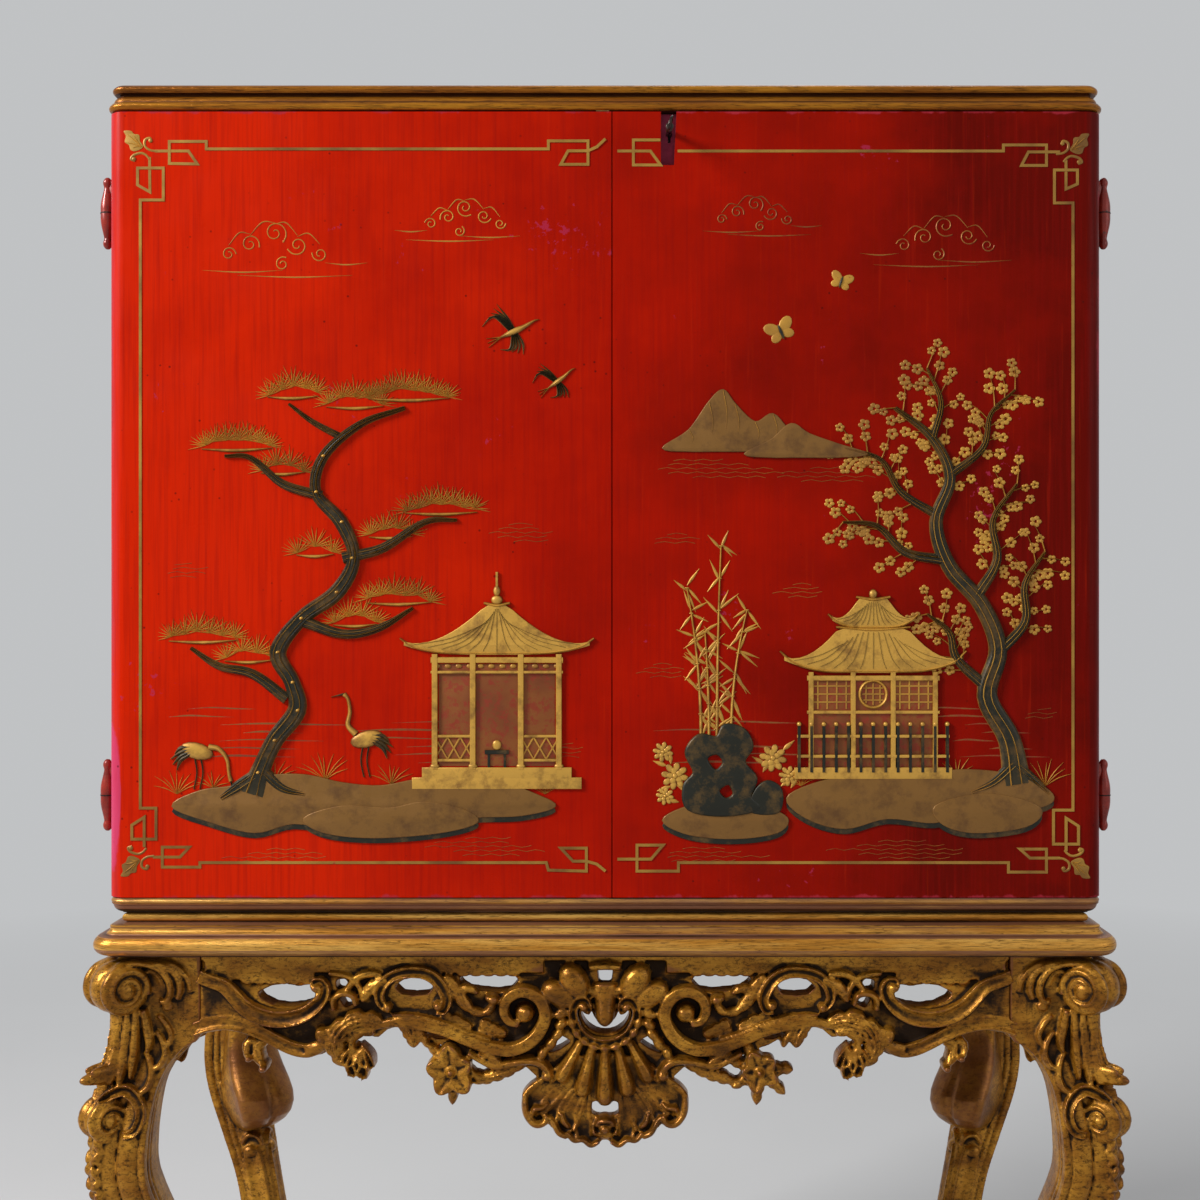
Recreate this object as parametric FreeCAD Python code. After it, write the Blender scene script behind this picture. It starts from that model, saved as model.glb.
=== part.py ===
import FreeCAD, Part
import math
import os

# Bar cabinet: a two-door case on a carved and pierced stand.
# Millimetres, X to the viewer's right, Y to the back, Z up from the floor.
# The case's plan is centred on the origin, and the doors' face is its front plane.

V = FreeCAD.Vector
RIGHT, REAR, UP = V(1, 0, 0), V(0, 1, 0), V(0, 0, 1)
ORIGIN = V(0, 0, 0)
quarter, full_turn = 90, 360
roll_sides, carved_sides, turned_sides = 10, 6, 12

# Case and doors
case_width = 997.2
case_depth = 420.0
corner_radius = 17.0
stand_height = 729.5
plinth_height = 16.0
door_height = 786.0
crown_height = 26.5
reveal = 1.0
seam_offset = 7.0
door_thickness = 25.0
board = 18.0
back_thickness = 8.0
plinth_width = 32.0
crown_width = 38.0
overrun = 1.0

# Inside of the case
shelf_height = 365.0
shelf_setback = 36.0
divider_thickness = 12.0
divider_offset = 118.0
glass_thickness = 6.0
glass_height = 205.0
glass_clearance = 1.0
glass_setback = 48.0
glass_back_gap = 8.0
batten_width = 10.0
batten_height = 12.0
mirror_thickness = 4.0
mirror_margin = 4.0

# Hinges: an olive barrel outside the case, its leaves let into the door's back and the side's edge
hinge_standoff = 7.6
hinge_upper_drop = 95.5
hinge_lower_rise = 99.5
olive_length = 36.5
olive_radius = 6.9
olive_share = 0.68
finial_radius = 4.6
neck_radius = 3.4
ring_radius = 7.3
ring_thickness = 1.0
ring_gap = 0.1
hinge_pin_radius = 2.5
hinge_pin_depth = 21.0
running_gap = 0.05
leaf_thickness = 2.0
leaf_width = 16.0
leaf_height = 30.0
leaf_offset = 2.0

# Key, lock and the recess in the right door's face
key_offset = 64.4
key_drop = 20.5
recess_width = 15.5
recess_inner_gap = 7.1
recess_length = 53.5
recess_depth = 9.0
recess_taper = 2.5
lock_depth = 12.0
lock_wall = 1.5
lock_left = 25.0
lock_right = 19.0
lock_below = 25.0
shank_radius = 2.75
shank_bore = 1.35
shank_length = 42.0
shank_end_gap = 0.6
keyhole_gap = 0.35
drill_pin_radius = 1.2
bit_reach = 8.0
bit_thickness = 2.0
bit_length = 5.0
bit_start_angle = 45.0
bow_radius = 8.5
bow_thickness = 3.0
bow_bar = 2.8
bow_tilt = 20.0
key_collar_radius = 3.8
key_collar_length = 2.5
lock_travel = 8.5
bolt_depth = 5.0
bolt_width = 12.0
bolt_edge_gap = 4.0
talon_height = 5.0
talon_reach_gap = 0.5
bolt_below = 9.0
bolt_inside = 0.5
bolt_side_gap = 0.2
stump_radius = 1.5
stump_gap = 0.2
strike_thickness = 1.5
strike_length = 38.0
strike_width = 14.0
strike_gap = 0.5

# Flush bolts in the left door's meeting edge
flush_plate_thickness = 2.0
flush_plate_width = 15.0
flush_plate_length = 110.0
flush_rod_width = 6.0
flush_rod_inset = 9.0
flush_rod_length = 86.0
flush_rod_gap = 0.15
flush_rod_sunk = 0.4
flush_travel = 11.0
thumb_length = 12.0
thumb_width = 6.0
thumb_gap = 0.25
thumb_from_end = 74.0
keeper_length = 22.0
keeper_width = 13.0

# Stand: moulding, boards and rails
stand_inset = 5.1
moulding_height = 41.5
moulding_width = 62.0
stand_board = 20.0
rail_thickness = 27.0
joint_inset = 87.5
block_recess = 3.5
back_rail_height = 92.0
corner_block_leg = 42.0
corner_block_height = 48.0
tenon_thickness = 9.0
tenon_length = 20.0
tenon_height = 44.0
tenon_drop = 12.0
tenon_gap = 0.15
side_drop = 112.0

# Front apron: drops are measured below the moulding
apron_drop = 142.0
shell_drop = 189.0
band_width = 12.5
band_relief = 8.0
scroll_eye_radius = 9.0
scroll_offset_share = 0.202
scroll_level = 55.5
gadroon_length = 56.0
gadroon_root = 5.5
gadroon_end = 10.0
gadroon_angle = 17.0
gadroon_level = 90.0
shell_relief = 12.0
dome_share = 0.55
lobe_offset_share = 0.06
lobe_radius = 15.0
lobe_small_offset_share = 0.128
lobe_small_radius = 12.5
boss_radius = 14.0
flower_radius = 23.0
flower_offset_share = 0.382
flower_level = 115.0
petal_radius = 8.5
petal_count = 5
bud_radius = 13.0
bud_offset_share = 0.618
bud_level = 105.0
pearl_offset_share = 0.084
pearl_step_share = 0.0074
pearl_radius = 6.0
pearl_pitch = 11.5
pearl_count = 4

# Legs: levels are shares of the height under the moulding, reaches count outward from the stand's corner
knee_roll_level_share = 0.767
knee_roll_radius = 21.5
knee_roll_length = 30.0
knee_roll_reach = 5.6
top_roll_level_share = 0.955
top_roll_radius = 25.5
top_roll_length = 50.0
top_roll_reach = -3.5
roll_band_depth = 2.5
roll_eye_radius = 9.0
roll_eye_relief = 2.5
horn_roll_level_share = 0.584
horn_roll_radius = 12.0
horn_roll_length = 40.0
horn_roll_reach = -74.0
horn_top_level_share = 0.668
horn_root_reach = -24.0
horn_start_reach = -45.0
leaf_top_level_share = 0.945
leaf_tip_level_share = 0.817
leaf_plate = 34.0
leaf_tip_reach = 19.5
foot_roll_radius = 19.0
foot_roll_length = 34.0
foot_reach = -56.0
foot_pad_height = 6.0
foot_pad_size = 44.0

# A leg's square section: share of the height, outer reach and inner reach from the stand's corner
leg_sections = [
    (0.93, -4.5, -86.0), (0.89, -4.5, -85.0), (0.865, -4.0, -68.0), (0.836, -1.0, -54.0),
    (0.8, 6.0, -44.0), (0.744, 15.5, -39.5), (0.69, 18.5, -39.5), (0.64, 13.0, -46.0),
    (0.58, -4.0, -59.0), (0.5, -28.5, -76.0), (0.407, -48.5, -91.0), (0.298, -70.0, -108.5),
    (0.203, -81.5, -118.5), (0.124, -82.0, -121.0), (0.058, -68.0, -116.0), (0.0, -46.0, -100.0),
]
# Half of that section from its inner corner, in shares of its side, mirrored about the diagonal
leg_corner_shares = [(0.0, 0.87), (0.13, 1.0), (0.47, 1.0), (0.52, 0.92), (0.87, 1.0)]

# Profiles in shares of a moulding's height: outward from the doors' plane, and up
crown_shares = [
    (-0.09, 0.0), (0.04, 0.05), (0.075, 0.19), (0.04, 0.33), (-0.075, 0.39), (-0.24, 0.48), (-0.32, 0.62),
    (-0.32, 0.71), (-0.15, 0.71), (-0.06, 0.79), (-0.06, 0.91), (-0.15, 1.0),
]
plinth_shares = [(-0.69, 0.0), (-0.33, 0.1), (-0.1, 0.33), (0.0, 0.69), (0.0, 1.0)]
stand_shares = [
    (0.1, 0.0), (0.17, 0.08), (0.28, 0.08), (0.41, 0.15), (0.46, 0.27), (0.43, 0.39), (0.33, 0.49),
    (0.2, 0.52), (0.09, 0.55), (0.06, 0.66), (0.14, 0.7), (0.14, 0.77), (-0.29, 0.77), (-0.19, 0.85),
    (-0.2, 0.94), (-0.33, 1.0),
]

# Half of the apron's lower edge from the leg's joint to the shell: shares of half its length and of its drop
apron_edge_shares = [
    (1.0, 0.57), (0.936, 0.521), (0.847, 0.599), (0.776, 0.704), (0.736, 0.732), (0.665, 0.662),
    (0.645, 0.69), (0.631, 0.817), (0.603, 0.873), (0.576, 0.803), (0.567, 0.62), (0.539, 0.535),
    (0.463, 0.535), (0.448, 0.62), (0.443, 0.9), (0.394, 1.0), (0.345, 0.972), (0.323, 0.901),
    (0.236, 0.817), (0.18, 0.81), (0.155, 0.9),
]
shell_edge_shares = [
    (0.155, 0.66), (0.195, 0.73), (0.197, 0.825), (0.167, 0.894), (0.128, 0.868), (0.108, 0.926),
    (0.054, 0.968), (0.03, 0.995), (0.0, 0.974),
]
# Openings on both sides of the apron's middle, in the same shares
opening_shares = [
    [(0.857, 0.232), (0.793, 0.169), (0.729, 0.169), (0.709, 0.232), (0.754, 0.352), (0.823, 0.338)],
    [(0.667, 0.183), (0.621, 0.2), (0.623, 0.262), (0.665, 0.254)],
    [(0.66, 0.303), (0.623, 0.34), (0.645, 0.38)],
    [(0.498, 0.19), (0.448, 0.141), (0.421, 0.183), (0.421, 0.254), (0.488, 0.261)],
    [(0.355, 0.134), (0.296, 0.15), (0.227, 0.127), (0.214, 0.183), (0.256, 0.275), (0.32, 0.254)],
    [(0.446, 0.563), (0.433, 0.535), (0.394, 0.57), (0.387, 0.599), (0.419, 0.599)],
    [(0.108, 0.577), (0.084, 0.62), (0.148, 0.711)],
]
# Openings on the apron's middle, out from it and down: shares of the shell's half width and of its drop
middle_opening_shares = [
    [(0.1, 0.074), (0.075, 0.164), (-0.075, 0.164), (-0.1, 0.074)],
    [(0.17, 0.778), (0.11, 0.849), (-0.11, 0.849), (-0.17, 0.778)],
    [
        (0.34, 0.286), (0.27, 0.333), (0.15, 0.376), (0.0, 0.389), (-0.15, 0.376), (-0.27, 0.333),
        (-0.34, 0.286), (-0.25, 0.302), (-0.11, 0.36), (0.0, 0.37), (0.11, 0.36), (0.25, 0.302),
    ],
]
# Middle lines of the raised scrolls, in the same shares as the edge
scroll_arm_shares = [
    (0.571, 0.497), (0.493, 0.46), (0.389, 0.525), (0.338, 0.585), (0.285, 0.633), (0.226, 0.644),
    (0.175, 0.559), (0.149, 0.413), (0.165, 0.285), (0.205, 0.235), (0.24, 0.281), (0.251, 0.369),
    (0.229, 0.455),
]
upper_scroll_shares = [
    (0.985, 0.155), (0.938, 0.218), (0.889, 0.356), (0.815, 0.44), (0.736, 0.401), (0.69, 0.254),
    (0.714, 0.183),
]
side_edge_shares = [
    (1.0, 0.7), (0.9, 0.67), (0.79, 0.72), (0.7, 0.795), (0.62, 0.795), (0.51, 0.72), (0.4, 0.785),
    (0.3, 0.795), (0.2, 0.94), (0.0, 1.0),
]
side_opening_shares = [
    (0.62, 0.3), (0.54, 0.24), (0.43, 0.225), (0.3, 0.3), (0.345, 0.465), (0.46, 0.5), (0.57, 0.45),
]
side_scroll_shares = [
    (0.98, 0.21), (0.87, 0.25), (0.76, 0.36), (0.68, 0.5), (0.54, 0.59), (0.36, 0.57), (0.24, 0.455),
    (0.22, 0.3), (0.31, 0.2), (0.42, 0.23),
]

# Levels and planes worked out from the sizes above
half_width = case_width / 2
front = -case_depth / 2
back = case_depth / 2
moulding_base = stand_height - moulding_height
plinth_top = stand_height + plinth_height
door_base = plinth_top + reveal
door_top = door_base + door_height
crown_base = door_top + reveal
overall_height = crown_base + crown_height
door_back = front + door_thickness
case_front = door_back + reveal
back_front = back - back_thickness
side_inner = half_width - board
floor_top = plinth_top + board
ceiling = crown_base - board
shelf_base = floor_top + shelf_height
shelf_top = shelf_base + board
stand_half = half_width - stand_inset
apron_half = stand_half - joint_inset
apron_front = front + block_recess
scroll_offset = scroll_offset_share * apron_half
flower_offset = flower_offset_share * apron_half
bud_offset = bud_offset_share * apron_half
left_edge = seam_offset - reveal / 2
right_edge = seam_offset + reveal / 2
key_level = door_top - key_drop
hinge_y = door_back + reveal / 2
hinge_x = half_width + hinge_standoff


def box(x, y, z):
    """Block between two limits on each axis."""
    return Part.makeBox(x[1] - x[0], y[1] - y[0], z[1] - z[0], V(x[0], y[0], z[0]))


def upright(x, y, z, radius):
    """Round bar standing between two heights."""
    return Part.makeCylinder(radius, z[1] - z[0], V(x, y, z[0]), UP)


def face(steps, place):
    """Face inside a run of points and arcs; an arc is a pair of its middle and its end."""
    here, edges = steps[0], []
    for step in steps[1:] + steps[:1]:
        if isinstance(step[0], tuple):
            edges.append(Part.Arc(place(*here), place(*step[0]), place(*step[1])).toShape())
            here = step[1]
        elif step != here:
            edges.append(Part.makeLine(place(*here), place(*step)))
            here = step
    return Part.Face(Part.Wire(edges))


def scaled(steps, across, along):
    """The same run with its shares turned into lengths."""
    return [
        tuple((a * across, b * along) for a, b in step) if isinstance(step[0], tuple)
        else (step[0] * across, step[1] * along)
        for step in steps
    ]


def opposite(steps):
    """The same run walked backwards."""
    ends, middles = [], []
    for step in steps:
        arc = isinstance(step[0], tuple)
        ends.append(step[1] if arc else step)
        middles.append(step[0] if arc else None)
    back_run = [ends[-1]]
    for end, middle in zip(ends[-2::-1], middles[:0:-1]):
        back_run.append((middle, end) if middle else end)
    return back_run


def reflected(steps):
    """The same run on the other side of its first axis."""
    return [
        tuple((-a, b) for a, b in step) if isinstance(step[0], tuple) else (-step[0], step[1])
        for step in steps
    ]


def faceted(rows, sides):
    """Carved or turned form of flat facets through polygons, each given as a radius and a level."""
    rings = []
    for radius, level in rows:
        turns = [full_turn * (count + 1 / 2) / sides for count in range(sides)]
        ring = [V(radius * math.cos(a), radius * math.sin(a), level) for a in map(math.radians, turns)]
        rings.append(Part.makePolygon(ring + ring[:1]))
    return Part.makeLoft(rings, True, True)


def joined(shapes):
    """One solid from shapes that overlap."""
    return shapes[0].multiFuse(shapes[1:]).removeSplitter()


def mirrored(shape, axis):
    return shape.mirror(ORIGIN, axis)


def rounded_frame(shares, height, width, base):
    """Three-sided moulding whose front corners turn with the doors' rounded edges."""
    turn_x, turn_y = half_width - corner_radius, front + corner_radius

    def section(inner):
        return [(-inner, 0)] + scaled(shares, height, height) + [(-inner, height)]

    run = face(section(width), lambda out, up: V(-turn_x, front - out, base + up))
    side = face(section(width), lambda out, up: V(half_width + out, turn_y, base + up))
    corner = face(section(corner_radius), lambda out, up: V(half_width + out, turn_y, base + up))
    side = side.extrude(V(0, back - turn_y, 0))
    corner = corner.revolve(V(turn_x, turn_y, 0), UP, -quarter)
    pieces = [run.extrude(V(2 * turn_x, 0, 0)), side, corner, mirrored(side, RIGHT), mirrored(corner, RIGHT)]
    return joined(pieces)


def mitred_frame(shares, height, width, base):
    """Three-sided moulding mitred sharp at its front corners."""
    section = [(-width, 0)] + scaled(shares, height, height) + [(-width, height)]
    reach = height
    wide = stand_half + reach
    run = face(section, lambda out, up: V(-wide, front - out, base + up)).extrude(V(2 * wide, 0, 0))
    side = face(section, lambda out, up: V(stand_half + out, front - reach, base + up))
    side = side.extrude(V(0, back - front + reach, 0))
    outer, inner = (wide, front - reach), (stand_half - width, front + width)

    def prism(corners):
        return face(corners, lambda x, y: V(x, y, base)).extrude(V(0, 0, height))

    run = run.common(prism([outer, inner, (-inner[0], inner[1]), (-outer[0], outer[1])]))
    side = side.common(prism([outer, (outer[0], back), (inner[0], back), inner]))
    return joined([run, side, mirrored(side, RIGHT)])


def roll(radius, length, reach, height, bands, eye):
    """Roll across the corner's diagonal: ridged bands round it and an eye standing from each end."""
    groove = radius - roll_band_depth
    pitch = length / bands
    rows = [(groove, -length / 2)]
    for count in range(bands):
        start = -length / 2 + count * pitch
        rows += [(radius, start + pitch / 2), (groove, start + pitch)]
    end = length / 2 + roll_eye_relief
    body = joined([faceted(rows, roll_sides), faceted([(eye, -end), (eye, end)], carved_sides)])
    body.rotate(ORIGIN, REAR, quarter)
    body.rotate(ORIGIN, UP, -quarter / 2)
    body.translate(V(stand_half + reach, back + reach, height))
    return body


def diagonal_slab(run, width):
    """Plate that stands in the corner's diagonal plane; its run is in reaches and heights."""
    slab = face(run, lambda reach, up: V(reach * math.sqrt(2), -width / 2, up)).extrude(V(0, width, 0))
    slab.rotate(ORIGIN, UP, quarter / 2)
    slab.translate(V(stand_half, back, 0))
    return slab


def leg_section(share, outer, inner):
    """Square section with a moulded inner edge, a groove on each outer face and a cut outer corner."""
    side, level = outer - inner, share * moulding_base
    half = [(0, 0)] + leg_corner_shares
    across = [(b, a) for a, b in reversed(leg_corner_shares)]
    points = [V(stand_half + inner + a * side, back + inner + b * side, level) for a, b in half + across]
    return Part.makePolygon(points + points[:1])


def horn():
    """Short branch with a small roll that curls inward behind a rear leg's knee."""
    end, level, round_up = horn_roll_reach, horn_roll_level_share * moulding_base, horn_roll_radius / 2
    top = horn_top_level_share * moulding_base
    run = [
        (horn_root_reach, top), (horn_start_reach, top), ((horn_start_reach + end) / 2, (top + level) / 2),
        (end, level + round_up), (end, level - round_up), (horn_root_reach - round_up, level - round_up),
    ]
    return [
        diagonal_slab(run, horn_roll_length - roll_band_depth),
        roll(horn_roll_radius, horn_roll_length, end, level, 1, round_up),
    ]


def leg(branches):
    """Right rear leg with the branches it carries; the others are mirror images."""
    shaft = Part.makeLoft([leg_section(*row) for row in reversed(leg_sections)], True, True)
    outer, inner = -block_recess, -joint_inset
    head = box(
        (stand_half + inner, stand_half + outer), (back + inner, back + outer),
        (leg_sections[1][0] * moulding_base, moulding_base),
    )
    tip = leaf_tip_reach
    leaf_top, leaf_low = leaf_top_level_share * moulding_base, leaf_tip_level_share * moulding_base
    leaf_run = [
        (outer - leaf_plate, leaf_top), (outer, leaf_top), (outer + tip / 3, leaf_low + tip),
        (tip, leaf_low + tip / 2), (tip, leaf_low + tip / 6), (tip / 2, leaf_low),
        (outer - leaf_plate, leaf_low),
    ]
    foot_level = foot_roll_radius + foot_pad_height / 2
    foot_middle = foot_reach - foot_pad_size / 2
    pad = box(
        (stand_half + foot_middle - foot_pad_size / 2, stand_half + foot_middle + foot_pad_size / 2),
        (back + foot_middle - foot_pad_size / 2, back + foot_middle + foot_pad_size / 2),
        (0, foot_pad_height),
    )
    top_level, knee_level = top_roll_level_share * moulding_base, knee_roll_level_share * moulding_base
    body = joined([
        shaft, head,
        roll(top_roll_radius, top_roll_length, top_roll_reach, top_level, 3, roll_eye_radius),
        roll(knee_roll_radius, knee_roll_length, knee_roll_reach, knee_level, 2, roll_eye_radius),
        diagonal_slab(leaf_run, leaf_plate), pad,
        roll(foot_roll_radius, foot_roll_length, foot_reach, foot_level, 1, foot_roll_radius / 2),
    ] + branches)
    for mortise in (tenon(apron_half, back + outer - rail_thickness / 2, tenon_gap, False),
                    tenon(back - joint_inset, stand_half + outer - rail_thickness / 2, tenon_gap, True)):
        body = body.cut(mortise)
    return body


def tenon(start, middle, gap, turned):
    """Tenon on the positive end of a rail, or with a gap the mortise it needs."""
    along = (start - overrun, start + tenon_length + gap)
    across = (middle - tenon_thickness / 2 - gap, middle + tenon_thickness / 2 + gap)
    top = moulding_base - tenon_drop
    height = (top - tenon_height - gap, top + gap)
    return box(across, along, height) if turned else box(along, across, height)


def pierced_board(edge, openings, half_length, drop):
    """Board with a shaped lower edge and openings on both sides of its middle, lying in X and Z."""
    half = [(half_length, 0)] + scaled(edge, half_length, drop)
    run = half + [(-x, down) for x, down in reversed(half)]
    plate = face(run, lambda x, down: V(x, 0, -down)).extrude(V(0, rail_thickness, 0))
    for opening in openings:
        hole = pierced(scaled(opening, half_length, drop))
        plate = plate.cut(hole).cut(mirrored(hole, RIGHT))
    return plate


def pierced(run):
    """What an opening takes out of a board, from its outline across and down."""
    hole = face(run, lambda x, down: V(x, -overrun, -down))
    return hole.extrude(V(0, rail_thickness + 2 * overrun, 0))


def band(points, width, relief):
    """Raised band of straight runs along points on the board's face."""
    line = [V(x, 0, -down) for x, down in points]
    near, far = [], []
    for before, here, after in zip(line[:1] + line[:-1], line, line[1:] + line[-1:]):
        out = (after - before).normalize().cross(REAR) * (width / 2)
        near.append(here + out + REAR * overrun)
        far.append(here - out + REAR * overrun)
    ring = near + far[::-1]
    return Part.Face(Part.makePolygon(ring + ring[:1])).extrude(V(0, -relief - overrun, 0))


def dome(radius, relief, x, down):
    """Low faceted knob that stands for a petal, lobe or pearl on the apron's face."""
    rows = [(radius, -overrun), (radius * dome_share, relief)]
    knob = faceted(rows, carved_sides)
    knob.rotate(ORIGIN, RIGHT, quarter)
    knob.translate(V(x, 0, -down))
    return knob


def big_scroll():
    """C-scroll beside the shell: from its tail round under the eye and over to the curl."""
    arm = band(scaled(scroll_arm_shares, apron_half, apron_drop), band_width, band_relief)
    return [arm, dome(scroll_eye_radius, band_relief, scroll_offset, scroll_level)]


def upper_scroll():
    """Hollow band that hangs like a swag between the leg's joint and the first opening."""
    return band(scaled(upper_scroll_shares, apron_half, apron_drop), band_width, band_relief)


def flower():
    """Five petals round a button."""
    ring = flower_radius - petal_radius
    petals = [dome(petal_radius * 3 / 4, band_relief * 3 / 2, flower_offset, flower_level)]
    for turn in range(petal_count):
        angle = math.radians(turn * full_turn / petal_count)
        x, down = flower_offset + ring * math.sin(angle), flower_level - ring * math.cos(angle)
        petals.append(dome(petal_radius, band_relief, x, down))
    return petals


def gadroon(turn):
    """Drop-shaped flute that leaves the shell's rim at an angle."""
    drop = faceted([
        (gadroon_end * dome_share, -gadroon_length), (gadroon_end, gadroon_end - gadroon_length),
        (gadroon_root, 0),
    ], carved_sides)
    root = V(0, 0, -gadroon_level + gadroon_end)
    drop.translate(root)
    drop.rotate(root + UP * gadroon_length / 2, REAR, turn * gadroon_angle)
    return drop


def shell_crest():
    """Lobes and boss over the crescent opening."""
    inner, outer = lobe_offset_share * apron_half, lobe_small_offset_share * apron_half
    low = boss_radius + lobe_small_radius
    lobes = [dome(boss_radius, shell_relief, 0, scroll_level - boss_radius / 2)]
    for side in (-1, 1):
        lobes.append(dome(lobe_radius, shell_relief, side * inner, low - lobe_radius / 3))
        lobes.append(dome(lobe_small_radius, band_relief, side * outer, low + lobe_small_radius))
    return lobes


def front_apron():
    """Carved and pierced board with its shell, scrolls, swags, flowers and buds."""
    board_shape = pierced_board(apron_edge_shares, opening_shares, apron_half, apron_drop)
    half = [(shell_edge_shares[0][0] * apron_half, apron_drop / 2)]
    half += scaled(shell_edge_shares, apron_half, shell_drop)
    run = half + [(-x, down) for x, down in reversed(half[:-1])]
    shell = face(run, lambda x, down: V(x, 0, -down)).extrude(V(0, rail_thickness, 0))
    solid = joined([board_shape, shell])
    for opening in middle_opening_shares:
        solid = solid.cut(pierced(scaled(opening, scroll_offset, shell_drop)))
    half_relief = big_scroll() + [upper_scroll()] + flower()
    half_relief.append(dome(bud_radius, shell_relief, bud_offset, bud_level))
    for count in range(pearl_count):
        x = (pearl_offset_share + count * pearl_step_share) * apron_half
        half_relief.append(dome(pearl_radius, band_relief, x, scroll_level + (count - 1) * pearl_pitch))
    relief = half_relief + [mirrored(piece, RIGHT) for piece in half_relief]
    relief += [gadroon(turn) for turn in range(-2, 3)] + shell_crest()
    solid = joined([solid] + relief)
    behind = box(
        (-half_width, half_width), (rail_thickness, 2 * rail_thickness), (-shell_drop - overrun, overrun)
    )
    above = box((-half_width, half_width), (-rail_thickness, rail_thickness), (0, rail_thickness))
    solid = solid.cut(behind).cut(above)
    solid.translate(V(0, apron_front, moulding_base))
    ends = tenon(apron_half, apron_front + rail_thickness / 2, 0, False)
    return joined([solid, ends, mirrored(ends, RIGHT)])


def side_apron():
    """The right side's apron; the left one is its mirror image."""
    half = back - joint_inset
    solid = pierced_board(side_edge_shares, [side_opening_shares], half, side_drop)
    scroll = band(scaled(side_scroll_shares, half, side_drop), band_width, band_relief)
    knob = dome(boss_radius, shell_relief, 0, side_drop * 3 / 4)
    solid = joined([solid, scroll, mirrored(scroll, RIGHT), knob])
    solid = solid.cut(box((-half, half), (rail_thickness, 2 * rail_thickness), (-side_drop, 0)))
    solid.rotate(ORIGIN, UP, quarter)
    solid.translate(V(stand_half - block_recess, 0, moulding_base))
    end = tenon(half, stand_half - block_recess - rail_thickness / 2, 0, True)
    return joined([solid, end, mirrored(end, REAR)])


def back_rail():
    """Plain rail between the rear legs, up to the stand's board."""
    level = (moulding_base - back_rail_height + stand_board, stand_height - stand_board)
    rear = back - block_recess
    rail = box((-apron_half, apron_half), (rear - rail_thickness, rear), level)
    end = tenon(apron_half, rear - rail_thickness / 2, 0, False)
    return joined([rail, end, mirrored(end, RIGHT)])


def corner_blocks():
    """Three-cornered glue blocks in the angles between rails and legs."""
    x, y = apron_half, back - block_recess - rail_thickness
    plan = [(x, y), (x - corner_block_leg, y), (x, y - corner_block_leg)]
    block = face(plan, lambda a, b: V(a, b, moulding_base - corner_block_height))
    block = block.extrude(V(0, 0, corner_block_height))
    pair = [block, mirrored(block, RIGHT)]
    return Part.makeCompound(pair + [mirrored(piece, REAR) for piece in pair])


def olive_half():
    """Upper half of a hinge barrel, standing on the ring, without its leaf."""
    start = ring_thickness / 2
    olive = olive_length * olive_share
    ball = (olive + olive_length) / 2
    return faceted([
        (olive_radius, start), (olive_radius, olive / 2), (neck_radius, olive), (finial_radius, ball),
        (neck_radius / 2, olive_length),
    ], turned_sides)


def hinge_ring():
    """Washer between the halves of a hinge barrel."""
    half = ring_thickness / 2
    rim, eye = [
        faceted([(radius, -half), (radius, half)], turned_sides)
        for radius in (ring_radius, hinge_pin_radius + running_gap)
    ]
    return rim.cut(eye)


def hinge_half(upper):
    """Barrel half and leaf of the right side's hinge, about its own axis; the lower half carries the pin."""
    barrel = olive_half()
    leaf_side = (hinge_x - half_width + leaf_width)
    depth = (reveal / 2, reveal / 2 + leaf_thickness)
    leaf = box((-leaf_side, -hinge_pin_radius), depth, (leaf_offset, leaf_offset + leaf_height))
    if upper:
        leaf = leaf.mirror(ORIGIN, REAR)
        barrel.translate(V(0, 0, ring_gap))
        hole = upright(0, 0, (-overrun, hinge_pin_depth + ring_gap), hinge_pin_radius + running_gap)
        return joined([barrel, leaf]).cut(hole)
    pin = faceted([(hinge_pin_radius, -hinge_pin_depth), (hinge_pin_radius, leaf_offset)], turned_sides)
    return joined([barrel, leaf, pin]).mirror(ORIGIN, UP)


def leaf_seat(level, upper):
    """Pocket for a leaf in the door's back (upper) or in the side's front edge."""
    start = leaf_offset if upper else -leaf_offset - leaf_height
    depth = (door_back - leaf_thickness, door_back + overrun) if upper else (
        case_front - overrun, case_front + leaf_thickness)
    low = level + start
    return box((half_width - leaf_width, half_width + overrun), depth, (low, low + leaf_height))


hinge_levels = {"upper": door_top - hinge_upper_drop, "lower": door_base + hinge_lower_rise}


def door_board(meeting_edge, side):
    """Door with a rounded outer front edge; side is 1 on the right and -1 on the left."""
    inner, outer, r = side * meeting_edge, half_width, corner_radius
    turn = r * (1 - math.sqrt(0.5))
    plan = [
        (inner, door_back), (inner, front), (outer - r, front),
        ((outer - turn, front + turn), (outer, front + r)), (outer, door_back),
    ]
    solid = face(plan, lambda x, y: V(x, y, door_base)).extrude(V(0, 0, door_height))
    for level in hinge_levels.values():
        solid = solid.cut(leaf_seat(level, True))
    return solid if side > 0 else mirrored(solid, RIGHT)


def keyhole(gap, y):
    """Round hole with a slot below it for the key's bit."""
    hole = Part.makeCylinder(shank_radius + gap, y[1] - y[0], V(key_offset, y[0], key_level), REAR)
    half = bit_thickness / 2 + gap
    slot = box((key_offset - half, key_offset + half), y, (key_level - bit_reach - gap, key_level))
    return hole.fuse(slot)


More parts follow.
